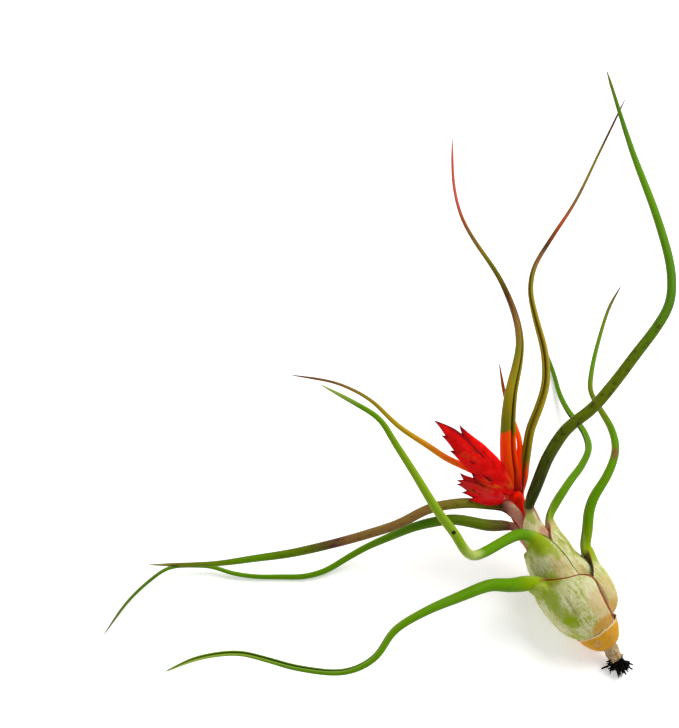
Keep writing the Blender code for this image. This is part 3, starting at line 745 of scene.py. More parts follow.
@dataclass
class Sheath:
    """A leaf's sheath, the part that wraps the bulb.

    Args:
        rows: From its foot to its top, the place along the bulb's axis and the angle round it, for
            the left margin and then the right one.
        layer: How many sheaths lie over it.
        pressed: Between these places the outer sheaths stop pressing it in all round.
        neck_wall: Its thickness at the neck.
        shoulder: How far it swells where its blade leaves it.
        shoulder_start: The share of its height at which the swelling starts.
        free_layers: Only sheaths with fewer than this many over them swell.
    """

    rows: tuple[tuple[float, float, float, float], ...]
    layer: int
    pressed: Pair
    neck_wall: float = 0.9
    shoulder: float = 2.4
    shoulder_start: float = 0.6
    free_layers: int = 4

    def wall(self, bulb: BulbForm, along: Any) -> Any:
        """Give the sheath's thickness at places along the bulb."""
        return bulb.wall + (self.neck_wall - bulb.wall) * smooth_rise(*bulb.neck_thickening, along)

    def margins(self) -> list[Array]:
        """Give the left and the right margin, each as rows of place and angle."""
        curve = smooth_curve(self.rows, 3)
        left = curve[:, 0:2]
        right = curve[:, 2:4]
        if left[-1][0] < right[-1][0]:
            return [np.vstack([left, right[-1]]), right]
        return [left, np.vstack([right, left[-1]])]

    def outside(self, bulb: BulbForm, along: Array, angle: Array) -> Array:
        """Measure how far points of the bulb lie outside the sheath."""
        left, right = self.margins()
        radius = bulb.radius(along)
        nearest = np.full(along.shape, np.inf)
        for turn in (-360.0, 0.0, 360.0):
            turned = angle + turn
            low = np.interp(along, left[:, 0], left[:, 1])
            high = np.interp(along, right[:, 0], right[:, 1])
            covered = (along <= left[-1][0]) & (low <= turned) & (turned <= high)
            nearest = np.where(covered, 0.0, nearest)
            here = np.radians(turned) * radius
            for margin in (left, right):
                for (a0, b0), (a1, b1) in zip(margin[:-1], margin[1:]):
                    y0 = math.radians(b0) * radius
                    span_a = a1 - a0
                    span_b = math.radians(b1 - b0) * radius
                    size = np.maximum(span_a ** 2 + span_b ** 2, 1e-9)
                    share = ((along - a0) * span_a + (here - y0) * span_b) / size
                    share = np.clip(share, 0.0, 1.0)
                    gap = np.hypot(along - a0 - span_a * share, here - y0 - span_b * share)
                    nearest = np.minimum(nearest, gap)
        return nearest

    def depth(self, bulb: BulbForm, over: "list[list[Sheath]]", along: Array,
              angle: Array) -> Array:
        """Give how far the sheaths over this one press it below the bulb's surface.

        Args:
            bulb: The bulb that carries it.
            over: Every layer's sheaths, from the outermost layer in.
            along: Where the points lie along the bulb's axis.
            angle: Their angles round it.

        Returns:
            A depth for each point.
        """
        pressed = 1.0 - smooth_rise(*self.pressed, along)
        total = np.zeros(along.shape)
        for layer in over[:self.layer]:
            deepest = np.zeros(along.shape)
            for other in layer:
                cover = 1.0 - smooth_rise(*bulb.emerging, other.outside(bulb, along, angle))
                room = other.wall(bulb, along) + bulb.layer_gap
                deepest = np.maximum(deepest, np.maximum(pressed, cover) * room)
            total += deepest
        return total


@dataclass
class Blade:
    """A leaf's rolled blade.

    Args:
        route: Points from its sheath to its tip.
        radii: Its radius at even steps along it.
        roll: How far it turns about its own line from its foot to its tip.
        closing: Half the angle that its section spans at its foot and at its tip.
        step: The distance from one of its rings to the next.
        taper: How long its point is.
    """

    route: tuple[Point, ...]
    radii: tuple[float, ...]
    roll: float = 0.0
    closing: Pair = (158.0, 132.0)
    step: float = 1.3
    taper: float = 9.0

    def line(self, start: Array) -> tuple[Array, Array]:
        """Sample the route from a start at even steps.

        Returns:
            The points, and each one's distance from the start.
        """
        dense = smooth_curve([tuple(start), *self.route], 24)
        distance = distances(dense)
        wanted = np.linspace(0.0, distance[-1], int(distance[-1] / self.step) + 1)
        points = np.column_stack([np.interp(wanted, distance, axis) for axis in dense.T])
        for _ in range(3):
            points[1:-1] = (points[:-2] + 2 * points[1:-1] + points[2:]) / 4
        return points, wanted

    def radius_at(self, distance: Array) -> Array:
        """Give the blade's radius at distances from its foot."""
        total = distance[-1]
        even = np.interp(distance / total, np.linspace(0.0, 1.0, len(self.radii)), self.radii)
        return even * np.sqrt(np.clip((total - distance) / self.taper, 0.0, 1.0))


@dataclass
class Leaf:
    """One leaf: a sheath on the bulb and a rolled blade, grown as one piece.

    Args:
        outer_points: How many points a ring has on its outer side.
        inner_points: How many it has on its inner side.
        rim_points: How many it has on each margin.
        foot_rises: How far over the foot the lowest rings lie.
        foot_clear: The sheath's own rows count from this far over the foot.
        thin_edge: The wall at a margin, as a share of the whole wall.
        thin_width: How far in from a margin the wall has grown whole.
        mound: How wide the swelling starts, in half widths of the top ring, and how much it loses.
        flare_start: How far over the sheath's top the blade's line starts.
        flare_length: Over this length the flat top ring rolls up to a tube.
        groove_wall: How much nearer to its line the tube's inner side lies, as a share.
        lip: How far a margin's rim bulges, as a turn in radians.
        lump_sizes: How wide the coarse and the fine lumps of its skin are.
        lump_shares: How high those are, as shares of the radius.
        lump_reach: Beyond this radius the lumps grow no higher.
        join_reach: How many rings on each side of the join are eased most.
        easing: How strongly the other rings are eased.
    """

    name: str
    sheath: Sheath
    blade: Blade
    finish: LeafFinish
    outer_points: int = 33
    inner_points: int = 25
    rim_points: int = 3
    foot_rises: tuple[float, ...] = (0.0, 0.5, 1.0, 1.5, 2.0)
    foot_clear: float = 2.6
    thin_edge: float = 0.4
    thin_width: float = 2.6
    mound: Pair = (1.9, 0.9)
    flare_start: float = 1.4
    flare_length: float = 7.0
    groove_wall: float = 0.46
    lip: float = 0.12
    lump_sizes: Pair = (7.0, 2.2)
    lump_shares: Pair = (0.02, 0.008)
    lump_reach: float = 6.0
    join_reach: float = 5.0
    easing: float = 0.12
    easing_rounds: int = 14

    def section_places(self) -> tuple[Array, Array]:
        """Give each ring point's share across, from 0 to 1, and down through the wall."""
        rim = [(step + 1) / (self.rim_points + 1) for step in range(self.rim_points)]
        across = list(np.linspace(0.0, 1.0, self.outer_points)) + [1.0] * self.rim_points
        down = [0.0] * self.outer_points + rim
        across += list(np.linspace(1.0, 0.0, self.inner_points)) + [0.0] * self.rim_points
        down += [1.0] * self.inner_points + rim[::-1]
        return np.array(across), np.array(down)

    def swelling(self, bulb: BulbForm, rows: Array, along: Array,
                 angle: Array) -> Any:
        """Give how far the sheath swells under its blade.

        Args:
            bulb: The bulb that carries it.
            rows: The sheath's rows, as in its form but finer.
            along: Where the ring points lie along the axis.
            angle: Their angles round it.

        Returns:
            A height for each ring point.
        """
        if self.sheath.layer >= self.sheath.free_layers:
            return 0.0
        height = np.linspace(0.0, 1.0, len(rows))[:, None]
        risen = smooth_rise(self.sheath.shoulder_start, 1.0, height)
        left_along, left_angle, right_along, right_angle = rows[-1]
        top_radius = float(bulb.radius((left_along + right_along) / 2))
        half = math.radians(right_angle - left_angle) * top_radius / 2
        apart = np.radians(angle - (left_angle + right_angle) / 2) * bulb.radius(along)
        width = half * (self.mound[0] - self.mound[1] * risen)
        mound = np.maximum(0.0, 1.0 - (apart / width) ** 2)
        crown = risen * np.sqrt(mound) + (1.0 - risen) * mound ** 2
        return self.sheath.shoulder * risen * crown

    def sheath_rings(self, bulb: BulbForm, over: list[list[Sheath]]) -> tuple[Array, ...]:
        """Lay out the sheath's rings.

        Args:
            bulb: The bulb that carries it.
            over: Every layer's sheaths, from the outermost layer in.

        Returns:
            The rings, and for each point its distance from the margin, its place along the bulb and
            its angle round it.
        """
        across, down = self.section_places()
        rows = smooth_curve(self.sheath.rows, 8)
        foot = bulb.sheath_foot((bulb.wall + bulb.layer_gap) * self.sheath.layer + bulb.wall)
        left, right = rows[0][1], rows[0][3]
        early = [[foot + rise, left, foot + rise, right] for rise in self.foot_rises]
        late = [row for row in rows if min(row[0], row[2]) > foot + self.foot_clear]
        kept = np.vstack([early, late])
        along = kept[:, 0:1] + (kept[:, 2:3] - kept[:, 0:1]) * across
        angle = kept[:, 1:2] + (kept[:, 3:4] - kept[:, 1:2]) * across
        arc = np.radians(kept[:, 3:4] - kept[:, 1:2]) * bulb.radius(along)
        margin = arc * np.minimum(across, 1.0 - across)
        whole = smooth_rise(0.0, self.thin_width, margin)
        wall = self.sheath.wall(bulb, along) * (self.thin_edge + (1.0 - self.thin_edge) * whole)
        pressed = self.sheath.depth(bulb, over, along, angle)
        swollen = self.swelling(bulb, kept, along, angle) * (1.0 - down)
        rings = bulb.place(along, angle, pressed + down * wall - swollen)
        return rings, margin, along, angle

    def blade_rings(self, bulb: BulbForm, top: Array) -> tuple[Array, Array]:
        """Lay out the blade's rings from the sheath's top ring.

        Args:
            bulb: The bulb that carries the sheath.
            top: The sheath's top ring.

        Returns:
            The rings, and each one's distance from the sheath's top.
        """
        outer = self.outer_points
        inner_first = outer + self.rim_points
        inner_last = inner_first + self.inner_points - 1
        left = (top[0] + top[inner_last]) / 2
        right = (top[outer - 1] + top[inner_first]) / 2
        outer_middle = top[outer // 2]
        inner_middle = top[(inner_first + inner_last) // 2]
        heading = unit(np.cross(outer_middle - inner_middle, right - left))
        start = (outer_middle + inner_middle) / 2 + heading * self.flare_start
        points, distance = self.blade.line(start)
        share = distance / distance[-1]
        across_line = (right - left) - heading * (right - left).dot(heading)
        half_width = float(np.linalg.norm(across_line)) / 2
        rolls = np.radians(self.blade.roll) * smooth_rise(0.0, 1.0, share)
        frames = carried_frames(points, across_line, rolls)
        radii = self.blade.radius_at(distance)
        closing = np.radians(np.interp(share, (0.0, 1.0), self.blade.closing))
        rolled = smooth_rise(0.0, self.flare_length, distance)
        across, down = self.section_places()
        place = 2.0 * across - 1.0
        rounded = np.sqrt(np.maximum(0.0, 1.0 - place ** 2))
        strip_back = self.sheath.shoulder * ((1.0 - down) * rounded - 0.5) + (0.5 - down) * bulb.wall
        wall = 1.0 - self.groove_wall * down
        lip = np.sin(np.pi * down) * self.lip * np.sign(place) * (abs(place) > 0.999)
        rings = []
        for point, (side, back), radius, close, roll in zip(points, frames, radii, closing, rolled):
            width = half_width + (radius - half_width) * roll
            turn = place * close + lip
            to_side = (place * (1.0 - roll) + np.sin(turn) * wall * roll) * width
            to_back = strip_back * (1.0 - roll) + np.cos(turn) * wall * radius * roll
            rings.append(point + side * to_side[:, None] + back * to_back[:, None])
        return np.array(rings), distance + self.flare_start

    def eased(self, rings: Array, join: int) -> Array:
        """Ease the skin along the leaf, most of all where the blade leaves its sheath.

        Args:
            rings: The leaf's rings.
            join: The blade's first ring.

        Returns:
            The eased rings.
        """
        near = np.exp(-((np.arange(len(rings)) - join) / self.join_reach) ** 2)
        share = np.clip(self.easing + near, 0.0, 1.0)[:, None, None]
        share[0] = share[-1] = 0.0
        for _ in range(self.easing_rounds):
            middle = rings.copy()
            middle[1:-1] = (rings[:-2] + rings[2:]) / 2
            rings = rings + (middle - rings) * share * 0.5
        return rings

    def lumpy(self, rings: Array, seed: float) -> Array:
        """Give the skin its soft lumps and keep it over the surface that it lies on."""
        coarse = lumps(rings, self.lump_sizes[0], seed) * self.lump_shares[0]
        fine = lumps(rings, self.lump_sizes[1], seed + 9.0) * self.lump_shares[1]
        away = rings - rings.mean(axis=1, keepdims=True)
        reach = np.minimum(np.linalg.norm(away, axis=2), self.lump_reach)
        grown = rings + unit(away) * (reach * (coarse + fine))[..., None]
        grown[..., 2] = np.maximum(grown[..., 2], 0.0)
        return grown

    def build(self, bulb: BulbForm, over: list[list[Sheath]], seed: float) -> None:
        """Build the leaf's mesh and dress it.

        Args:
            bulb: The bulb that carries it.
            over: Every layer's sheaths, from the outermost layer in.
            seed: Makes its lumps its own.
        """
        sheath_rings, sheath_margin, along, angle = self.sheath_rings(bulb, over)
        blade_rings, distance = self.blade_rings(bulb, sheath_rings[-1])
        joined = np.concatenate([sheath_rings, blade_rings[:-1]])
        rings = self.lumpy(self.eased(joined, len(sheath_rings)), seed)
        across, down = self.section_places()
        back_run = -distances(sheath_rings.mean(axis=1)[::-1])[::-1]
        runs = np.concatenate([back_run, distance[:-1]])
        skin = Skin()
        loops = []
        for index, ring in enumerate(rings):
            row = min(index, len(sheath_rings) - 1)
            margin = sheath_margin[row] if index == row else FAR_INSIDE
            loops.append(skin.add(ring, run=runs[index], across=2 * across - 1, inner=down,
                                  margin=margin, along=along[row], turn=angle[row]))
        tip = blade_rings[-1].mean(axis=0)
        skin.pointed_tube(loops, tip, run=runs[-1], margin=FAR_INSIDE)
        self._close_foot(skin, loops[0])
        skin.make_piece(self.name, self.finish.material(self.name + "_finish"))

    def _close_foot(self, skin: Skin, ring: Array) -> None:
        """Close the sheath's lowest ring between its outer and its inner side."""
        outer = self.outer_points
        inner_first = outer + self.rim_points
        inner_end = inner_first + self.inner_points
        skin.zip_sides(ring[:outer], ring[inner_first:inner_end][::-1])
        skin.cap(ring[outer - 1:inner_first + 1])
        skin.cap([*ring[inner_end - 1:], ring[0]])


@dataclass
class BractLeaf:
    """A thin grooved leaf that stands among the flower spikes.

    Args:
        radii: Its radius at even steps along its route.
        roll: How far it turns about its own line.
        outer_turn: Half the angle that its outer side spans.
        inner_turn: Half the angle that its groove spans.
        inner_share: The groove's radius, as a share of the outer one.
        flatness: How much wider than deep it is.
    """

    name: str
    route: tuple[Point, ...]
    radii: tuple[float, ...]
    finish: LeafFinish
    roll: float = 40.0
    outer_points: int = 16
    inner_points: int = 11
    outer_turn: float = 140.0
    inner_turn: float = 136.0
    inner_share: float = 0.55
    flatness: float = 1.1

    def build(self, bulb: BulbForm) -> None:
        """Build the leaf's mesh and dress it."""
        blade = Blade(route=self.route[1:], radii=self.radii)
        points, distance = blade.line(np.array(self.route[0]))
        radii = blade.radius_at(distance)
        rolls = np.radians(self.roll) * distance / distance[-1]
        frames = carried_frames(points, bulb.side, rolls)
        outer = np.linspace(-self.outer_turn, self.outer_turn, self.outer_points)
        inner = np.linspace(self.inner_turn, -self.inner_turn, self.inner_points)
        angles = np.concatenate([outer, inner])
        inside = np.repeat([0.0, 1.0], [self.outer_points, self.inner_points])
        reach = 1.0 + (self.inner_share - 1.0) * inside
        to_side = np.sin(np.radians(angles)) * reach * self.flatness
        to_back = np.cos(np.radians(angles)) * reach
        skin = Skin()
        loops = []
        for point, (side, back), radius, run in zip(points[:-1], frames, radii, distance):
            ring = point + (side * to_side[:, None] + back * to_back[:, None]) * radius
            loops.append(skin.add(ring, run=run, across=angles / self.outer_turn, inner=inside,
                                  margin=FAR_INSIDE))
        skin.pointed_tube(loops, points[-1], run=distance[-1], margin=FAR_INSIDE)
        skin.cap(loops[0])
        skin.make_piece(self.name, self.finish.material(self.name + "_finish"))


@dataclass(frozen=True)
class BractFinish:
    """The colours of a spike's bracts.

    Args:
        body: The bracts' red.
        warm: The other red that it is clouded with.
        tip: The colour of the pointed tips and of the edges.
        stain: The colour of the patches in the bracts' lower halves.
        stain_share: How strong those are.
    """

    body: Tone = Tone.BRACT_RED
    warm: Tone = Tone.BRACT_WARM
    tip: Tone = Tone.BRACT_TIP
    stain: Tone = Tone.ORANGE
    stain_share: float = 0.45

    def material(self, name: str) -> Material:
        """Build the bracts' material."""
        make = FinishMaker(name)
        run, across, shade = make.know(Fact.RUN, Fact.ACROSS, Fact.SHADE)
        cloud = make.noise(Grain.BRACT_CLOUD)
        veins = make.noise(Grain.BRACT_VEINS, across, run, shade)
        lower_half = run.rise(0.8, 0.5) * run.rise(0.08, 0.3)
        stained = (veins * 0.5 + cloud * 0.5).rise(0.47, 0.58) * lower_half * shade.rise(0.3, 0.6)
        colour = make.layers(
            self.body,
            (cloud.rise(0.35, 0.62), self.warm),
            (shade.rise(0.45, 0.95) * 0.45, Tone.BRACT_PINK),
            (veins.rise(0.5, 0.72) * 0.5, self.tip),
            (stained * self.stain_share, self.stain),
            ((across * across).rise(0.5, 0.95) * 0.9, self.tip),
            (run.rise(0.84, 0.98) * 0.9, self.tip))
        relief = veins * 0.7 + cloud * 0.3
        return make.dress(colour, 0.42 + veins * 0.15, relief, depth_mm=0.25)


@dataclass(frozen=True)
class Bract:
    """One keeled bract of a spike.

    It starts so far up the spike's stem, on the right side at 1 and on the left one at -1. Its
    splay is how far it leans away from the stem, and its width goes from keel to edge.
    """

    start: float
    side: float
    length: float
    splay: float
    width: float


@dataclass
class Spike:
    """A flattened flower spike with two rows of keeled bracts.

    Args:
        thickness: How thick a folded bract is.
        stem: Its stem's radius at the foot.
        stem_share: How far up the spike its stem goes, as a share.
        stem_extra: How much farther it goes.
        stations: How many rings a bract has.
        wing_points: How many points half of a ring's outer side has.
        sheet: How thick a bract's own wall is.
        spans: Shares of a bract's length, each with the width there as a share.
        depths: Shares of a bract's length, each with the thickness there as a share.
        fold: The share of the width, next to the keel, over which the fold opens.
        hook: How far out the tip curves.
        drift: How far a tip may drift off the spike's flat side, as a share of its lean.
    """

    name: str
    foot: Point
    tip: Point
    bracts: tuple[Bract, ...]
    thickness: float
    stem: float
    seed: int
    finish: BractFinish
    stem_share: float = 0.55
    stem_extra: float = 3.0
    stations: int = 22
    wing_points: int = 8
    sheet: float = 0.2
    spans: tuple[Pair, ...] = (
        (0.0, 0.5), (0.18, 0.85), (0.4, 1.0), (0.64, 0.78), (0.84, 0.36), (1.0, 0.03),
    )
    depths: tuple[Pair, ...] = (
        (0.0, 0.7), (0.18, 1.0), (0.42, 1.0), (0.68, 0.75), (0.88, 0.4), (1.0, 0.12),
    )
    fold: float = 0.4
    hook: float = 0.7
    drift: float = 0.6

    def build(self, bulb: BulbForm) -> None:
        """Build the spike's stem and bracts as one mesh and dress it."""
        rng = random.Random(self.seed)
        foot = np.array(self.foot)
        axis = np.array(self.tip) - foot
        total = float(np.linalg.norm(axis))
        heading = axis / total
        face = unit(bulb.front - heading * bulb.front.dot(heading))
        lines = (heading, np.cross(heading, face), face)
        skin = Skin()
        self._stem(skin, foot, lines, total * self.stem_share + self.stem_extra)
        for bract in self.bracts:
            start = foot + heading * bract.start
            self._bract(skin, bract, start, lines, rng.random(), rng.uniform(-0.5, 0.5))
        skin.make_piece(self.name, self.finish.material(self.name + "_finish"))

    def _stem(self, skin: Skin, foot: Array, lines: tuple[Array, ...],
              reach: float) -> None:
        """Add the spike's own tapering stem."""
        heading, across, face = lines
        turns = full_turn(16)
        loops = []
        for step in np.linspace(0.0, 1.0, 12):
            middle = foot + heading * (reach * step)
            ring = round_ring(middle, across, face, turns, self.stem * (1.0 - 0.5 * step))
            loops.append(skin.add(ring, run=0.1, shade=0.4))
        skin.closed_tube(loops)

    def _bract(self, skin: Skin, bract: Bract, start: Array, lines: tuple[Array, ...],
               shade: float, lean: float) -> None:
        """Add one keeled bract that is folded round the spike's stem.

        Args:
            skin: The spike's mesh.
            bract: The bract's form.
            start: Where it grows.
            lines: The directions along the spike, across it and out of its flat side.
            shade: What its finish knows it by.
            lean: Which way and how far its tip drifts.
        """
        heading, across, face = lines
        splay = math.radians(bract.splay)
        line = heading * math.cos(splay) + across * math.sin(splay)
        out = (across * math.cos(splay) - heading * math.sin(splay)) * bract.side
        half = np.linspace(1.0, 0.0, self.wing_points)
        place = np.concatenate([-half, half[::-1][1:]])
        wing = abs(place)
        opened = np.sin(np.minimum(wing / self.fold, 1.0) * math.pi / 2) * (1.0 - 0.2 * wing)
        both_sides = np.concatenate([place, place[::-1]])
        loops = []
        for t in np.linspace(0.0, 1.0, self.stations):
            span = np.interp(t, *np.transpose(self.spans))
            width = bract.width * span
            lift = opened * self.thickness / 2 * np.interp(t, *np.transpose(self.depths))
            keel = start + line * (bract.length * t) + out * (width * 0.5 + self.hook * t ** 6)
            keel = keel + face * (lean * t ** 3 * self.drift)
            sheet = self.sheet * min(1.0, 1.6 * span)
            nested = np.maximum(lift - sheet, 0.0)
            rows = [middle - out * (wing * reach)[:, None] - face * (np.sign(place) * rise)[:, None]
                    for middle, reach, rise in ((keel, width, lift),
                                                (keel - out * sheet, width - sheet, nested))]
            ring = np.vstack([rows[0], rows[1][::-1]])
            loops.append(skin.add(ring, run=t, across=both_sides, shade=shade))
        tip = start + line * (bract.length * 1.02) + out * self.hook
        skin.pointed_tube(loops, tip, run=1.0, shade=shade)
        ring = loops[0]
        for index in range(len(place) - 1):
            skin.cap((ring[index], ring[index + 1], ring[-2 - index], ring[-1 - index]))


@dataclass
class Stem:
    """The short stem inside the bulb, with its woody stub below and the stalk above.

    Args:
        stub: Points of the stub, from its end to the bulb.
        profile: Places along the bulb's axis, each with the stem's radius there.
        stalk: Points of the flower stalk beyond those.
        bark_end: Up to this run the stub's bark is rough.
        bark: How rough the stub and the rest are, as shares of the radius.
    """

    stub: tuple[Point, ...] = (
        (13.2, -18.2, 3.5), (12.9, -17.8, 3.6), (12.5, -17.2, 4.0), (12.0, -16.4, 4.6),
    )
    stub_radii: tuple[float, ...] = (3.3, 3.2, 2.9, 2.6)
    profile: tuple[Pair, ...] = (
        (-1.2, 2.5), (0.2, 2.5), (1.2, 3.0), (3.0, 3.1), (9.0, 3.1), (14.0, 2.6),
        (22.0, 1.4), (34.0, 1.15), (46.0, 1.15), (52.0, 1.15),
    )
    stalk: tuple[Point, ...] = ((-20.6, 30.8, 28.4), (-21.8, 31.5, 30.4))
    stalk_radius: float = 2.1
    sides: int = 40
    seed: float = 3.0
    bark_end: float = 5.5
    bark: Pair = (0.3, 0.03)

    def material(self) -> Material:
        """Build the material of the woody stub, the pale stem and the red stalk."""
        make = FinishMaker("stem_finish")
        run, across = make.know(Fact.RUN, Fact.ACROSS)
        fibre = make.noise(Grain.STUB_FIBRE, across, run)
        flakes = make.noise(Grain.STUB_FLAKES)
        colour = make.layers(
            Tone.STUB_TAN,
            (fibre.rise(0.4, 0.66), Tone.STUB_BROWN),
            (flakes.rise(0.55, 0.7) * 0.7, Tone.POWDER),
            (run.rise(1.6, -0.4) * flakes.rise(0.3, 0.6), Tone.ROOT_BLACK),
            (run.rise(30.0, 45.0), Tone.NECK_ROSE),
            (run.rise(51.5, 53.0), Tone.SCARLET))
        relief = fibre * 0.6 + flakes * 0.5
        return make.dress(colour, 0.62 + flakes * 0.2, relief, depth_mm=0.35)

    def build(self, bulb: BulbForm) -> None:
        """Build the stem's mesh and dress it."""
        knots = [(*point, radius) for point, radius in zip(self.stub, self.stub_radii)]
        knots += [(*(bulb.start + bulb.axis * along), radius) for along, radius in self.profile]
        knots += [(*point, self.stalk_radius) for point in self.stalk]
        rows = smooth_curve(knots, 6)
        line = rows[:, :3]
        frames = carried_frames(line, np.array([1.0, 0.0, 0.0]), 0.0)
        turns = full_turn(self.sides)
        skin = Skin()
        loops = []
        for point, radius, (side, back), run in zip(line, rows[:, 3], frames, distances(line)):
            rough = self.bark[0] if run < self.bark_end else self.bark[1]
            ridges = ring_noise(turns, 3.0, run * 0.35 + self.seed)
            reach = radius * (1.0 + rough * ridges - rough * 0.4)
            ring = round_ring(point, side, back, turns, reach)
            loops.append(skin.add(ring, run=run, across=np.sin(turns)))
        skin.closed_tube(loops)
        skin.make_piece("stem", self.material())


@dataclass
class Husk:
    """The dry papery husk round the foot of the bulb.

    Args:
        profile: Places along the bulb's axis, each with the husk's outer radius there.
        ragged: How high the teeth of its rim are.
        pleat: How deep its pleats are.
        inset: How much nearer to the axis than the profile it lies.
    """

    profile: tuple[Pair, ...] = (
        (-1.3, 3.2), (-0.9, 4.1), (0.0, 5.1), (1.4, 6.1), (3.2, 7.1), (4.8, 7.6), (5.8, 8.05),
        (6.5, 8.6),
    )
    thickness: float = 0.3
    sides: int = 120
    ragged: float = 0.8
    pleat: float = 0.22
    inset: float = 0.1
    seed: float = 5.0

    def material(self) -> Material:
        """Build the husk's papery material."""
        make = FinishMaker("base_husk_finish")
        run, across = make.know(Fact.RUN, Fact.ACROSS)
        fibre = make.noise(Grain.HUSK_FIBRE, across, run)
        cloud = make.noise(Grain.HUSK_CLOUD)
        colour = make.layers(
            Tone.HUSK_AMBER,
            (cloud.rise(0.38, 0.66), Tone.BASE_AMBER),
            (fibre.rise(0.5, 0.72) * 0.5, Tone.HUSK_BROWN),
            (cloud.rise(0.5, 0.75) * 0.4, Tone.POWDER),
            (run.rise(6.9, 7.7) * 0.6, Tone.POWDER))
        relief = fibre * 0.7 + cloud * 0.4
        return make.dress(colour, 0.5 + cloud * 0.2, relief, depth_mm=0.3)

    def build(self, bulb: BulbForm) -> None:
        """Build the husk's mesh and dress it."""
        outer = smooth_curve(self.profile, 6)
        slopes = unit(np.gradient(outer, axis=0))
        inward = np.column_stack([slopes[:, 1], -slopes[:, 0]])
        inner = (outer + inward * self.thickness)[::-1]
        turns = full_turn(self.sides)
        rim = ring_noise(turns, 2.2, self.seed) + 0.5 * ring_noise(turns, 7.0, self.seed)
        skin = Skin()
        loops = []
        for along, radius in np.vstack([outer, inner]):
            risen = smooth_rise(1.0, self.profile[-1][0], along)
            height = along + (rim - 0.55) * self.ragged * risen
            pleats = ring_noise(turns, 5.0, along * 0.12 + self.seed) * self.pleat
            hugged = np.interp(height, *outer.T) - np.interp(along, *outer.T)
            middles = bulb.start + bulb.axis * height[:, None]
            ring = round_ring(middles, bulb.front, bulb.side, turns,
                              radius + hugged + pleats - self.inset)
            loops.append(skin.add(ring, run=along - self.profile[0][0], across=np.sin(turns / 2)))
        skin.tube([*loops, loops[0]])
        skin.make_piece("base_husk", self.material())


@dataclass
class Roots:
    """The tuft of wiry roots under the stub.

    Args:
        radii: The least and the greatest radius.
        lengths: The least and the greatest length.
        fan: How far to each side they spread.
        spread: How far from the stub's middle they start.
        ground: How far over the resting surface they stay.
    """

    strands: int = 190
    radii: Pair = (0.22, 0.55)
    lengths: Pair = (1.4, 4.3)
    fan: float = 74.0
    spread: float = 2.1
    ground: float = 0.4
    seed: int = 21
    sides: int = 6

    def material(self) -> Material:
        """Build the roots' dull black material."""
        make = FinishMaker("roots_finish")
        cloud = make.noise(Grain.ROOT_CLOUD)
        colour = make.layers(Tone.ROOT_BLACK, (cloud.rise(0.5, 0.75) * 0.6, Tone.ROOT_BROWN))
        return make.dress(colour, 0.6 + cloud * 0.2, cloud, depth_mm=0.2)

    def build(self, stem: Stem) -> None:
        """Build the tuft's mesh and dress it."""
        rng = random.Random(self.seed)
        end = np.array(stem.stub[0])
        crown = end + unit(end - np.array(stem.stub[1])) * 0.5
        skin = Skin()
        for _ in range(self.strands):
            turn = math.radians(self.fan) * rng.uniform(-1.0, 1.0)
            heading = np.array([math.sin(turn), -math.cos(turn), rng.uniform(-0.35, 0.45)])
            bend = np.array([rng.uniform(-1.1, 1.1), rng.uniform(-0.8, 0.7),
                             rng.uniform(-0.8, 0.1)])
            length = rng.uniform(*self.lengths)
            around = rng.uniform(0.0, math.tau)
            outward = np.array([math.cos(around), 0.35 * math.sin(around), math.sin(around)])
            start = crown + outward * rng.uniform(0.0, self.spread)
            knots = [start]
            for step in (0.3, 0.65, 1.0):
                point = start + heading * (length * step) + bend * (length * 0.45 * step ** 2)
                point[2] = max(point[2], self.ground)
                knots.append(point)
            self._strand(skin, smooth_curve(knots, 5), rng.uniform(*self.radii))
        skin.make_piece("roots", self.material())

    def _strand(self, skin: Skin, line: Array, radius: float) -> None:
        """Add one tapering strand."""
        turns = full_turn(self.sides)
        loops = []
        for index, (side, back) in enumerate(carried_frames(line, np.array([0.3, 0.2, 1.0]), 0.0)):
            reach = radius * (1.0 - 0.6 * index / len(line))
            loops.append(skin.add(round_ring(line[index], side, back, turns, reach)))
        skin.closed_tube(loops)


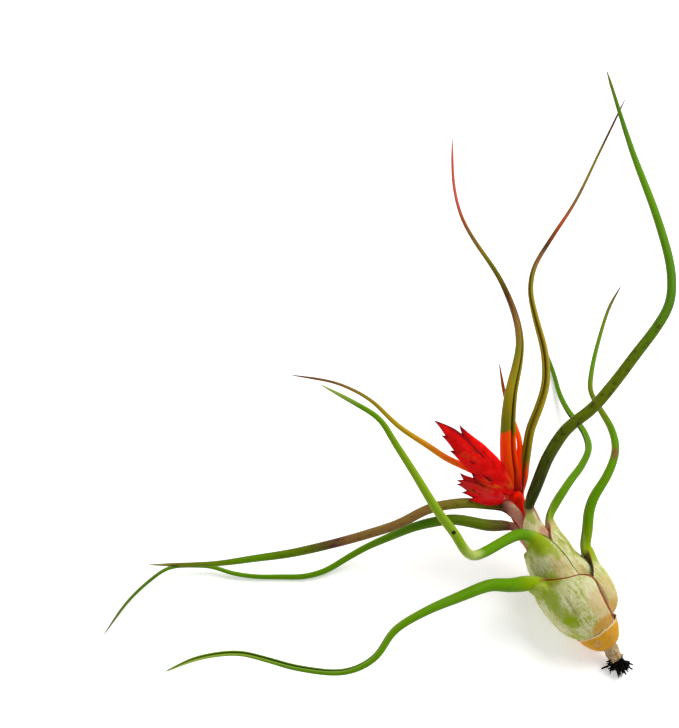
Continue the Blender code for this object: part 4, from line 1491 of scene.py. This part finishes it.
LEAVES = (
    Leaf(
        "leaf_front_low",
        Sheath(
            rows=((4.2, -228, 4.2, 62), (8, -226, 8, 44), (12, -216, 13, 36), (16.5, -192, 18.5, 37),
                  (20, -160, 23, 41), (22.6, -132, 26.3, 30), (24.9, -108, 28.2, 6),
                  (27, -88, 29.7, -14), (28.8, -68, 31, -36)),
            layer=0, pressed=(0, 1), shoulder=4.6),
        Blade(
            route=((-26, 0, 28.5), (-33, -1, 32), (-44, -6, 35), (-55, -11, 36.5), (-65, -17, 36),
                   (-71, -25, 34), (-81, -29, 32), (-95, -28, 33), (-105, -26, 36), (-114, -25, 40),
                   (-125, -28, 46), (-134, -33, 50)),
            radii=(2.81, 2.03, 1.59, 1.21, 1, 0.95, 0.8, 0.65),
            roll=75),
        LeafFinish(
            stops=((-8, Tone.PATCH_GREEN), (0, Tone.PATCH_GREEN), (14, Tone.LEAF_GREEN),
                   (95, Tone.LEAF_GREEN), (120, Tone.FRESH_GREEN), (142, Tone.PALE_GREEN)),
            margin=Tone.RED_BROWN, margin_width=1.1, mottle_share=0.15, powder=0.8,
            patches=(Patch(20, 26, 5, 12, Tone.POWDER, 0.6),
                     Patch(14, 22, 7, 15, Tone.PINK_BUFF, 0.75),
                     Patch(7.5, 18, 3.2, 34, Tone.BASE_AMBER, 0.8),
                     Patch(24.5, -36, 4, 19, Tone.PATCH_GREEN, 0.85),
                     Patch(19, -33, 5, 11, Tone.PATCH_GREEN, 0.8),
                     Patch(15, -27, 2.6, 12, Tone.PATCH_GREEN, 0.85),
                     Patch(19.5, -13, 4.5, 2, Tone.MOSS, 0.5),
                     # Painted shade: this brown patch paints the orange-brown shade just under the
                     # sheath's top margin line.
                     Patch(29, -18, 1.6, 14, Tone.HUSK_BROWN, 0.6)))),
    Leaf(
        "leaf_right_outer",
        Sheath(
            rows=((4.2, -2, 4.2, 222), (8, 4, 8, 218), (14, 12, 13, 206), (19.5, 24, 17.5, 184),
                  (24.2, 52, 22, 160), (27.2, 68, 26.5, 134), (29.6, 73, 30, 104)),
            layer=1, pressed=(5.5, 10), shoulder=3.4),
        Blade(
            route=((3, 20, 26.5), (3, 24, 28.5), (5, 30, 31.5), (10, 37, 34), (14, 46, 35),
                   (14, 55, 34), (12, 64, 31), (10, 72, 29), (11, 79, 28), (15, 92, 27), (22, 110, 27),
                   (28, 120, 29)),
            radii=(1.95, 1.8, 1.5, 1.25, 0.98, 0.8, 0.66, 0.5),
            roll=60),
        LeafFinish(
            stops=((-8, Tone.SHEATH_GREEN), (0, Tone.PATCH_GREEN), (12, Tone.LEAF_GREEN),
                   (45, Tone.LEAF_GREEN), (60, Tone.OLIVE), (80, Tone.LEAF_GREEN),
                   (104, Tone.OLIVE), (118, Tone.PURPLE_BROWN)),
            margin_width=0.7, mottle_share=0.2, powder=0.6,
            patches=(Patch(14, 58, 8, 20, Tone.PINK_BUFF, 0.65),
                     # Painted shadow: this purple-brown patch paints the shadow that the front sheath's
                     # right margin casts on this sheath.
                     Patch(18, 41, 8, 7, Tone.PURPLE_BROWN, 0.6),
                     Patch(9, 50, 4, 26, Tone.BASE_AMBER, 0.5),
                     Patch(28.5, 86, 4.5, 26, Tone.PATCH_GREEN, 0.85)),
            spots=(Spot(17, 0, 1.2, 0.2, Tone.DARK_BROWN),
                   Spot(36.5, 0.6, 2.4, 0.28, Tone.TIP_BROWN),
                   Spot(36.5, -0.6, 2.4, 0.28, Tone.TIP_BROWN)))),
    Leaf(
        "leaf_front_bent",
        Sheath(
            rows=((4.2, -190, 4.2, 40), (10, -185, 10, 36), (18, -160, 18, 31), (26, -130, 26, 31),
                  (32, -115, 33, 32), (37, -101, 39.3, 32), (40.3, -78, 42.3, 26),
                  (41.8, -28, 44.2, 14)),
            layer=2, pressed=(15, 21), shoulder=3.8),
        Blade(
            route=((-19, 16, 33.5), (-23, 15, 36), (-29, 11, 39.5), (-36, 6, 43.5), (-41, 4, 46.5),
                   (-46, 9, 53), (-52, 13, 62), (-59, 21, 71), (-66, 29, 79), (-70, 34, 83),
                   (-77, 37, 87), (-88, 40, 94)),
            radii=(2.1, 1.75, 1.6, 1.5, 1.3, 1.05, 0.8, 0.55),
            roll=50),
        LeafFinish(
            stops=((-8, Tone.SHEATH_GREEN), (0, Tone.PATCH_GREEN), (9, Tone.LEAF_GREEN),
                   (29, Tone.LEAF_GREEN), (34, Tone.PALE_GREEN), (41, Tone.FRESH_GREEN),
                   (70, Tone.FRESH_GREEN), (98, Tone.LEAF_GREEN), (118, Tone.PALE_GREEN)),
            margin=Tone.MOSS, margin_width=0.7, mottle_share=0.12, powder=0.8,
            patches=(Patch(32, 10, 7, 20, Tone.PINK_BUFF, 0.55),
                     Patch(41, -78, 1.6, 24, Tone.PURPLE_BROWN, 0.85),
                     Patch(40.5, -4, 4.5, 26, Tone.PATCH_GREEN, 0.95),
                     Patch(37, 16, 3, 11, Tone.PATCH_GREEN, 0.8),
                     Patch(31, -30, 2.5, 16, Tone.PATCH_GREEN, 0.45)),
            spots=(Spot(46.5, 0.1, 0.9, 0.2, Tone.DARK_BROWN),))),
    Leaf(
        "leaf_right_inner",
        Sheath(
            rows=((4.2, 0, 4.2, 210), (10, 5, 10, 206), (18, 12, 18, 200), (27, 18, 26, 190),
                  (35, 24, 33.5, 174), (41, 46, 40, 156), (44.9, 94, 44, 130)),
            layer=3, pressed=(20, 27)),
        Blade(
            route=((-5, 33, 25.5), (0, 40, 24), (5, 46.5, 21), (10, 56, 16), (10.5, 65, 11),
                   (9, 71, 7.8), (7, 77, 5), (5, 86, 2.4), (4, 96, 1.1), (2, 106, 0.85), (1, 114, 0.8)),
            radii=(1.7, 1.5, 1.4, 1.3, 1.15, 1.05, 0.95, 0.6),
            roll=50),
        LeafFinish(
            stops=((-8, Tone.SHEATH_GREEN), (0, Tone.FRESH_GREEN), (10, Tone.LEAF_GREEN),
                   (60, Tone.LEAF_GREEN), (90, Tone.DEEP_GREEN)),
            margin=Tone.NECK_ROSE, margin_width=0.5, mottle_share=0.2, powder=0.8,
            fade=(-3, 1),
            patches=(Patch(27, 46, 6, 12, Tone.PINK_BUFF, 0.55),
                     Patch(28.5, 30, 3.5, 6, Tone.PATCH_GREEN, 0.8),
                     Patch(38, 34, 5, 6, Tone.PATCH_GREEN, 0.6),
                     Patch(45.5, 90, 3, 60, Tone.PINK_BUFF, 0.85)))),
    Leaf(
        "leaf_tall_right",
        Sheath(
            rows=((4.2, -30, 4.2, 56), (12, -30, 12, 56), (24, -34, 24, 60), (38, -40, 37, 66),
                  (45.5, -40, 44, 72), (49.6, -24, 48.4, 72), (52.8, 22, 52, 68)),
            layer=4, neck_wall=1.3, pressed=(27, 34), shoulder=3),
        Blade(
            route=((-16, 30.5, 38.5), (-15, 33, 45), (-13, 37, 51), (-8, 43, 58), (0, 48, 63),
                   (7, 55, 67), (14, 63, 72), (21, 71, 76), (26, 79, 78), (28, 89, 79), (28, 100, 79.5),
                   (27, 119, 78), (25, 152, 73), (24, 198, 66)),
            radii=(2.04, 2.02, 1.9, 1.73, 1.5, 1.45, 1.3, 1.05, 0.75, 0.5),
            roll=40),
        LeafFinish(
            stops=((-10, Tone.SHEATH_GREEN), (-4, Tone.NECK_ROSE), (2, Tone.NIGHT_OLIVE),
                   (16, Tone.NIGHT_OLIVE), (36, Tone.DARK_OLIVE), (60, Tone.MOSS),
                   (90, Tone.DEEP_GREEN), (140, Tone.LEAF_GREEN), (180, Tone.DEEP_GREEN),
                   (205, Tone.MOSS)),
            mottle=Tone.DARK_BROWN, mottle_share=0.85, mottle_end=70,
            margin=Tone.CRIMSON, margin_width=0.5,
            powder=0.7, sheath=Tone.PINK_BUFF, sheath_pale=Tone.POWDER_GREEN, fade=(-3, 1.5),
            patches=(Patch(43, 44, 3, 30, Tone.NECK_ROSE, 0.7),
                     Patch(50.8, 24, 3.2, 20, Tone.PATCH_GREEN, 0.75),
                     Patch(50, 60, 3, 13, Tone.RUST, 0.8)))),
    Leaf(
        "leaf_left_green",
        Sheath(
            rows=((4.2, -150, 4.2, -90), (12, -150, 12, -90), (24, -146, 24, -84), (35, -138, 37, -72),
                  (42.5, -118, 45, -64), (48.6, -96, 49.8, -60)),
            layer=5, neck_wall=1.8, pressed=(30, 37)),
        Blade(
            route=((-30, 22, 25.5), (-37, 23, 26.5), (-43, 24, 26.5), (-50, 23.5, 25), (-57, 23, 21),
                   (-66, 21.5, 14), (-72, 20.5, 9), (-79, 18, 4.6), (-87, 14, 1.9), (-95, 12, 1),
                   (-103, 12, 0.8), (-112, 12, 1), (-121, 13, 1.9), (-128, 15, 3), (-135, 15, 4),
                   (-142, 14.5, 4.5), (-147, 12, 4.4), (-157, 3, 2.4), (-165, -9, 0.6)),
            radii=(2.1, 1.9, 1.6, 1.25, 1.1, 1, 0.85, 0.72, 0.6, 0.4),
            roll=60),
        LeafFinish(
            stops=((-10, Tone.SHEATH_GREEN), (-3, Tone.NECK_ROSE), (4, Tone.PURPLE_BROWN),
                   (14, Tone.MOSS), (34, Tone.DEEP_GREEN), (60, Tone.LEAF_GREEN),
                   (120, Tone.LEAF_GREEN), (150, Tone.DEEP_GREEN), (160, Tone.MOSS)),
            margin=Tone.NECK_ROSE, margin_width=0.35, mottle_share=0.3, powder=0.5,
            sheath_pale=Tone.NECK_ROSE, fade=(-4, 2),
            patches=(Patch(46, -84, 6, 30, Tone.NECK_ROSE, 0.7),))),
    Leaf(
        "leaf_left_maroon",
        Sheath(
            rows=((4.2, -78, 4.2, -22), (12, -78, 12, -22), (24, -72, 24, -14), (37, -62, 38, -2),
                  (47, -58, 49, 6), (54.8, -58, 58.6, 10)),
            layer=5, neck_wall=1.8, pressed=(34, 42)),
        Blade(
            route=((-30, 28.2, 29.2), (-37, 28.6, 30), (-44, 27.8, 30.8), (-52, 26, 30.8),
                   (-62, 21.5, 28.5), (-73, 19, 25), (-85, 17, 21), (-99, 15, 17.5), (-112, 14, 15),
                   (-124, 13, 13), (-135, 13, 11.5), (-150, 13, 11)),
            radii=(1.75, 1.75, 1.65, 1.6, 1.55, 1.5, 1.25, 0.9, 0.55),
            roll=60),
        LeafFinish(
            stops=((-10, Tone.NECK_ROSE), (-2, Tone.NECK_ROSE), (3, Tone.MAROON),
                   (12, Tone.OLIVE), (34, Tone.TIP_BROWN), (58, Tone.TIP_BROWN),
                   (64, Tone.PURPLE_BROWN), (74, Tone.MOSS), (94, Tone.LEAF_GREEN),
                   (122, Tone.OLIVE), (134, Tone.TIP_BEIGE)),
            rim=Tone.PURPLE_BROWN, rim_share=0.5, mottle=Tone.MAROON, mottle_share=0.4,
            margin=Tone.CRIMSON, margin_width=0.5, powder=0.6, sheath=Tone.NECK_ROSE,
            sheath_pale=Tone.PINK_BUFF, fade=(-3, 1.5),
            patches=(Patch(50, -30, 9, 34, Tone.NECK_ROSE, 0.8),
                     Patch(64, 0, 6, 80, Tone.SCARLET, 0.95)),
            spots=(Spot(122, 0, 2.2, 0.6, Tone.DARK_BROWN),))),
    Leaf(
        "leaf_tall_left",
        Sheath(
            rows=((4.2, -210, 4.2, -162), (12, -208, 12, -160), (24, -200, 24, -154),
                  (38, -184, 38, -148), (47, -178, 47, -134), (56, -174, 56, -130)),
            layer=5, neck_wall=1.8, pressed=(34, 42)),
        Blade(
            route=((-23.2, 37, 34.5), (-24.6, 42, 41), (-25, 50, 48), (-24, 59, 53), (-21, 70, 55),
                   (-19.5, 79, 55), (-20, 92, 53), (-24, 109, 51), (-32, 127, 50), (-36, 139, 50),
                   (-38, 153, 52), (-38, 171, 57)),
            radii=(3.6, 2.89, 2.24, 1.46, 1.16, 0.95, 0.8, 0.68, 0.5),
            roll=-30),
        LeafFinish(
            stops=((-10, Tone.ORANGE_RED), (0, Tone.SCARLET), (14, Tone.SCARLET),
                   (29.8, Tone.ORANGE_RED), (30.4, Tone.OLIVE), (44, Tone.OLIVE_GOLD),
                   (58, Tone.OLIVE), (72, Tone.TIP_BROWN), (84, Tone.DARK_BROWN),
                   (104, Tone.OLIVE), (116, Tone.TIP_BROWN), (124, Tone.RUST),
                   (130, Tone.ROSE), (150, Tone.ROSE)),
            rim=Tone.OLIVE_GOLD, rim_share=0.2, stripe=Tone.OLIVE_GOLD, mottle=Tone.RUST,
            mottle_share=0.12, margin=Tone.CRIMSON, powder=0.05, stripe_share=0.15,
            sheath=Tone.NECK_ROSE, sheath_pale=Tone.PINK_BUFF, fade=(-1.5, 0.5),
            streak=Tone.ORANGE)),
    Leaf(
        "leaf_tall_gold",
        Sheath(
            rows=((4.2, 68, 4.2, 126), (12, 70, 12, 128), (24, 84, 24, 140), (38, 120, 38, 164),
                  (47, 130, 47, 172), (56, 126, 56, 172)),
            layer=5, neck_wall=1.8, pressed=(34, 42)),
        Blade(
            route=((-18.5, 36, 31.5), (-18.5, 39.5, 36), (-18, 44, 41), (-17, 49.5, 45), (-14, 56, 48),
                   (-11, 65, 50), (-10, 78, 49), (-11, 94, 46), (-11, 108, 43), (-8, 120, 42),
                   (0, 134, 41), (11, 151, 43), (22, 172, 47), (35, 197, 52)),
            radii=(1.62, 1.62, 1.44, 1.21, 0.95, 0.85, 0.7, 0.55, 0.42),
            roll=80),
        LeafFinish(
            stops=((-10, Tone.ORANGE_RED), (0, Tone.SCARLET), (13, Tone.ORANGE_RED),
                   (17, Tone.OLIVE_GOLD), (80, Tone.OLIVE_GOLD),
                   (94, Tone.OLIVE), (104, Tone.TIP_BROWN), (112, Tone.DARK_BROWN),
                   (126, Tone.RUST), (138, Tone.TIP_BROWN), (158, Tone.OLIVE), (172, Tone.DARK_BROWN),
                   (190, Tone.PURPLE_BROWN), (205, Tone.PURPLE_BROWN)),
            rim=Tone.DARK_BROWN, rim_share=0.4, stripe=Tone.GOLD, mottle=Tone.DARK_BROWN,
            mottle_share=0.2, margin=Tone.CRIMSON, powder=0.05,
            sheath=Tone.NECK_ROSE, sheath_pale=Tone.PINK_BUFF, fade=(-1.5, 0.5),
            streak=Tone.ORANGE)),
)

BRACT_LEAVES = (
    BractLeaf(
        "bract_leaf_left",
        route=((-25.5, 34.9, 31.3), (-27.8, 35.5, 32.7), (-33, 36.6, 35.4), (-39, 38.2, 38.5),
               (-46, 40, 42), (-52, 43, 45), (-61, 48, 48), (-66, 52, 50), (-70, 56, 51), (-76, 60, 52),
               (-85, 63, 54), (-99, 64, 57)),
        radii=(0.84, 1.1, 1, 0.84, 0.61, 0.45, 0.38),
        finish=LeafFinish(
            stops=((0, Tone.SCARLET), (14, Tone.ORANGE_RED), (26, Tone.ORANGE), (40, Tone.GOLD),
                   (56, Tone.OLIVE_GOLD), (70, Tone.TIP_BROWN), (88, Tone.DARK_BROWN)),
            rim=Tone.TIP_BROWN, rim_share=0.6, stripe=Tone.GOLD, mottle=Tone.RUST,
            mottle_share=0.3, powder=0, streak=Tone.ORANGE)),
    BractLeaf(
        "bract_leaf_up",
        route=((-19.9, 33.4, 30.6), (-20.4, 35.6, 34), (-20.6, 41, 38.2), (-20.6, 46, 42.8),
               (-22.5, 52, 45.2), (-25, 61, 47.2), (-26.5, 73, 50)),
        radii=(0.8, 1, 0.85, 0.65, 0.55, 0.4),
        finish=LeafFinish(
            stops=((0, Tone.CRIMSON), (6, Tone.SCARLET), (18, Tone.ORANGE_RED),
                   (28, Tone.ORANGE), (38, Tone.RUST), (50, Tone.PURPLE_BROWN)),
            rim=Tone.RUST, rim_share=0.5, stripe=Tone.ORANGE, mottle=Tone.CRIMSON,
            mottle_share=0.3, powder=0, streak=Tone.ORANGE)),
)

SPIKES = (
    Spike(
        name="spike_long", foot=(-22.6, 31.6, 31.6), tip=(-48.9, 46.8, 55.8),
        bracts=(
            Bract(0.3, -1, 11, -26, 4.6),
            Bract(0.8, 1, 12, 20, 4.6),
            Bract(2.5, -1, 15, -17, 6),
            Bract(1.5, 1, 31.5, 5.5, 7.8),
            Bract(8.5, -1, 20.5, -11, 6.6),
            Bract(12, 1, 21, 2, 5.6),
            Bract(14.5, -1, 20.5, -6, 6),
            Bract(19.5, -1, 21, -1, 5.2),
        ),
        thickness=2.1 * BRACT_FULLNESS, stem=0.9, seed=7,
        finish=BractFinish()),
    Spike(
        name="spike_short", foot=(-26.1, 28.9, 32), tip=(-41.9, 34, 36.4),
        bracts=(
            Bract(0, -1, 12, -20, 4.6),
            Bract(0.4, 1, 10, 30, 4.2),
            Bract(1.5, -1, 13, -11, 4.8),
            Bract(2.2, 1, 13, 20, 4.6),
            Bract(4, -1, 13, -2, 4.4),
            Bract(5.2, 1, 12.6, 10, 4.2),
            Bract(6.5, -1, 11, 4, 3.6),
        ),
        thickness=1.4 * BRACT_FULLNESS, stem=0.6, seed=8,
        finish=BractFinish(
            body=Tone.BRACT_PINK, warm=Tone.BRACT_RED, stain=Tone.MOSS, stain_share=0.6)),
)


@dataclass
class Studio:
    """The plain pale floor, the soft light and the camera.

    Args:
        look_down: How far below the horizon the camera looks.
        focal_pixels: Its focal length, in pixels of the photograph.
        aim: Where the lights point, in metres.
        surround: How bright the white surround is.
        floor_size: How wide the floor is, in metres.
        floor_glow: How strongly the floor shines of itself.
        floor_reflection: How much it mirrors.
    """

    camera_at: Point = (-82.2, -102.1, 352.0)
    look_down: float = 60.0
    focal_pixels: float = 1000.0
    sensor_mm: float = 36.0
    aim: Point = (-0.05, 0.05, 0.03)
    surround: float = 0.42
    floor_size: float = 6.0
    floor_glow: float = 0.33
    floor_reflection: float = 0.1

    def build(self) -> None:
        """Set up floor, light and camera."""
        self._floor()
        self._light("key_light", (0.45, 0.55, 0.95), width=0.8, power=14.0)
        self._light("fill_light", (-0.9, -0.6, 0.9), width=1.4, power=1.5)
        self._world()
        self._camera()
        bpy.context.scene.view_settings.view_transform = "Standard"
        bpy.context.scene.view_settings.look = "None"

    def _floor(self) -> None:
        """Lay the pale floor under the plant."""
        half = self.floor_size / 2
        mesh = bpy.data.meshes.new("floor")
        mesh.from_pydata([(-half, -half, 0), (half, -half, 0), (half, half, 0), (-half, half, 0)],
                         [], [(0, 1, 2, 3)])
        floor = bpy.data.objects.new("floor", mesh)
        bpy.context.scene.collection.objects.link(floor)
        make = FinishMaker("floor_finish")
        cloud = make.noise(Grain.FLOOR_CLOUD)
        colour = make.layers(Tone.FLOOR_WHITE, (cloud * 0.02, Tone.POWDER))
        floor.data.materials.append(make.dress(colour, 0.9))
        make.fill(make.shader, {"Specular IOR Level": self.floor_reflection,
                                "Emission Color": Tone.FLOOR_WHITE.linear,
                                "Emission Strength": self.floor_glow})

    def _light(self, name: str, place: Point, width: float, power: float) -> None:
        """Hang a wide light at a place in metres and point it at the plant."""
        data = bpy.data.lights.new(name, "AREA")
        data.size = width
        data.energy = power
        light = bpy.data.objects.new(name, data)
        light.location = place
        aim = Vector(self.aim) - Vector(place)
        light.rotation_euler = aim.to_track_quat("-Z", "Y").to_euler()
        bpy.context.scene.collection.objects.link(light)

    def _world(self) -> None:
        """Give an even white surround."""
        world = bpy.data.worlds.new("surround")
        world.use_nodes = True
        background = world.node_tree.nodes["Background"]
        background.inputs["Color"].default_value = (1.0, 1.0, 1.0, 1.0)
        background.inputs["Strength"].default_value = self.surround
        bpy.context.scene.world = world

    def _camera(self) -> None:
        """Place the camera at the photograph's viewing angle."""
        data = bpy.data.cameras.new("camera")
        data.sensor_width = self.sensor_mm
        data.lens = self.sensor_mm * self.focal_pixels / max(PHOTO_SIZE)
        data.sensor_fit = "AUTO"
        data.clip_start = 0.01
        data.clip_end = 20.0
        camera = bpy.data.objects.new("camera", data)
        camera.location = Vector(self.camera_at) * MM
        camera.rotation_euler = (math.radians(90.0 - self.look_down), 0.0, 0.0)
        bpy.context.scene.collection.objects.link(camera)
        bpy.context.scene.camera = camera


def sheath_layers() -> list[list[Sheath]]:
    """Give every layer's sheaths, from the outermost layer in."""
    layers: list[list[Sheath]] = [[] for _ in range(1 + max(leaf.sheath.layer for leaf in LEAVES))]
    for leaf in LEAVES:
        layers[leaf.sheath.layer].append(leaf.sheath)
    return layers


def main() -> None:
    """Build the studio and every piece of the plant, in order."""
    logging.basicConfig(level=logging.INFO, format="%(name)s: %(message)s")
    Studio().build()
    bulb = BulbForm()
    stem = Stem()
    stem.build(bulb)
    Husk().build(bulb)
    Roots().build(stem)
    over = sheath_layers()
    for number, leaf in enumerate(LEAVES, 1):
        leaf.build(bulb, over, number * LEAF_SEED_STEP)
    for leaf in BRACT_LEAVES:
        leaf.build(bulb)
    for spike in SPIKES:
        spike.build(bulb)


if __name__ == "__main__":
    main()
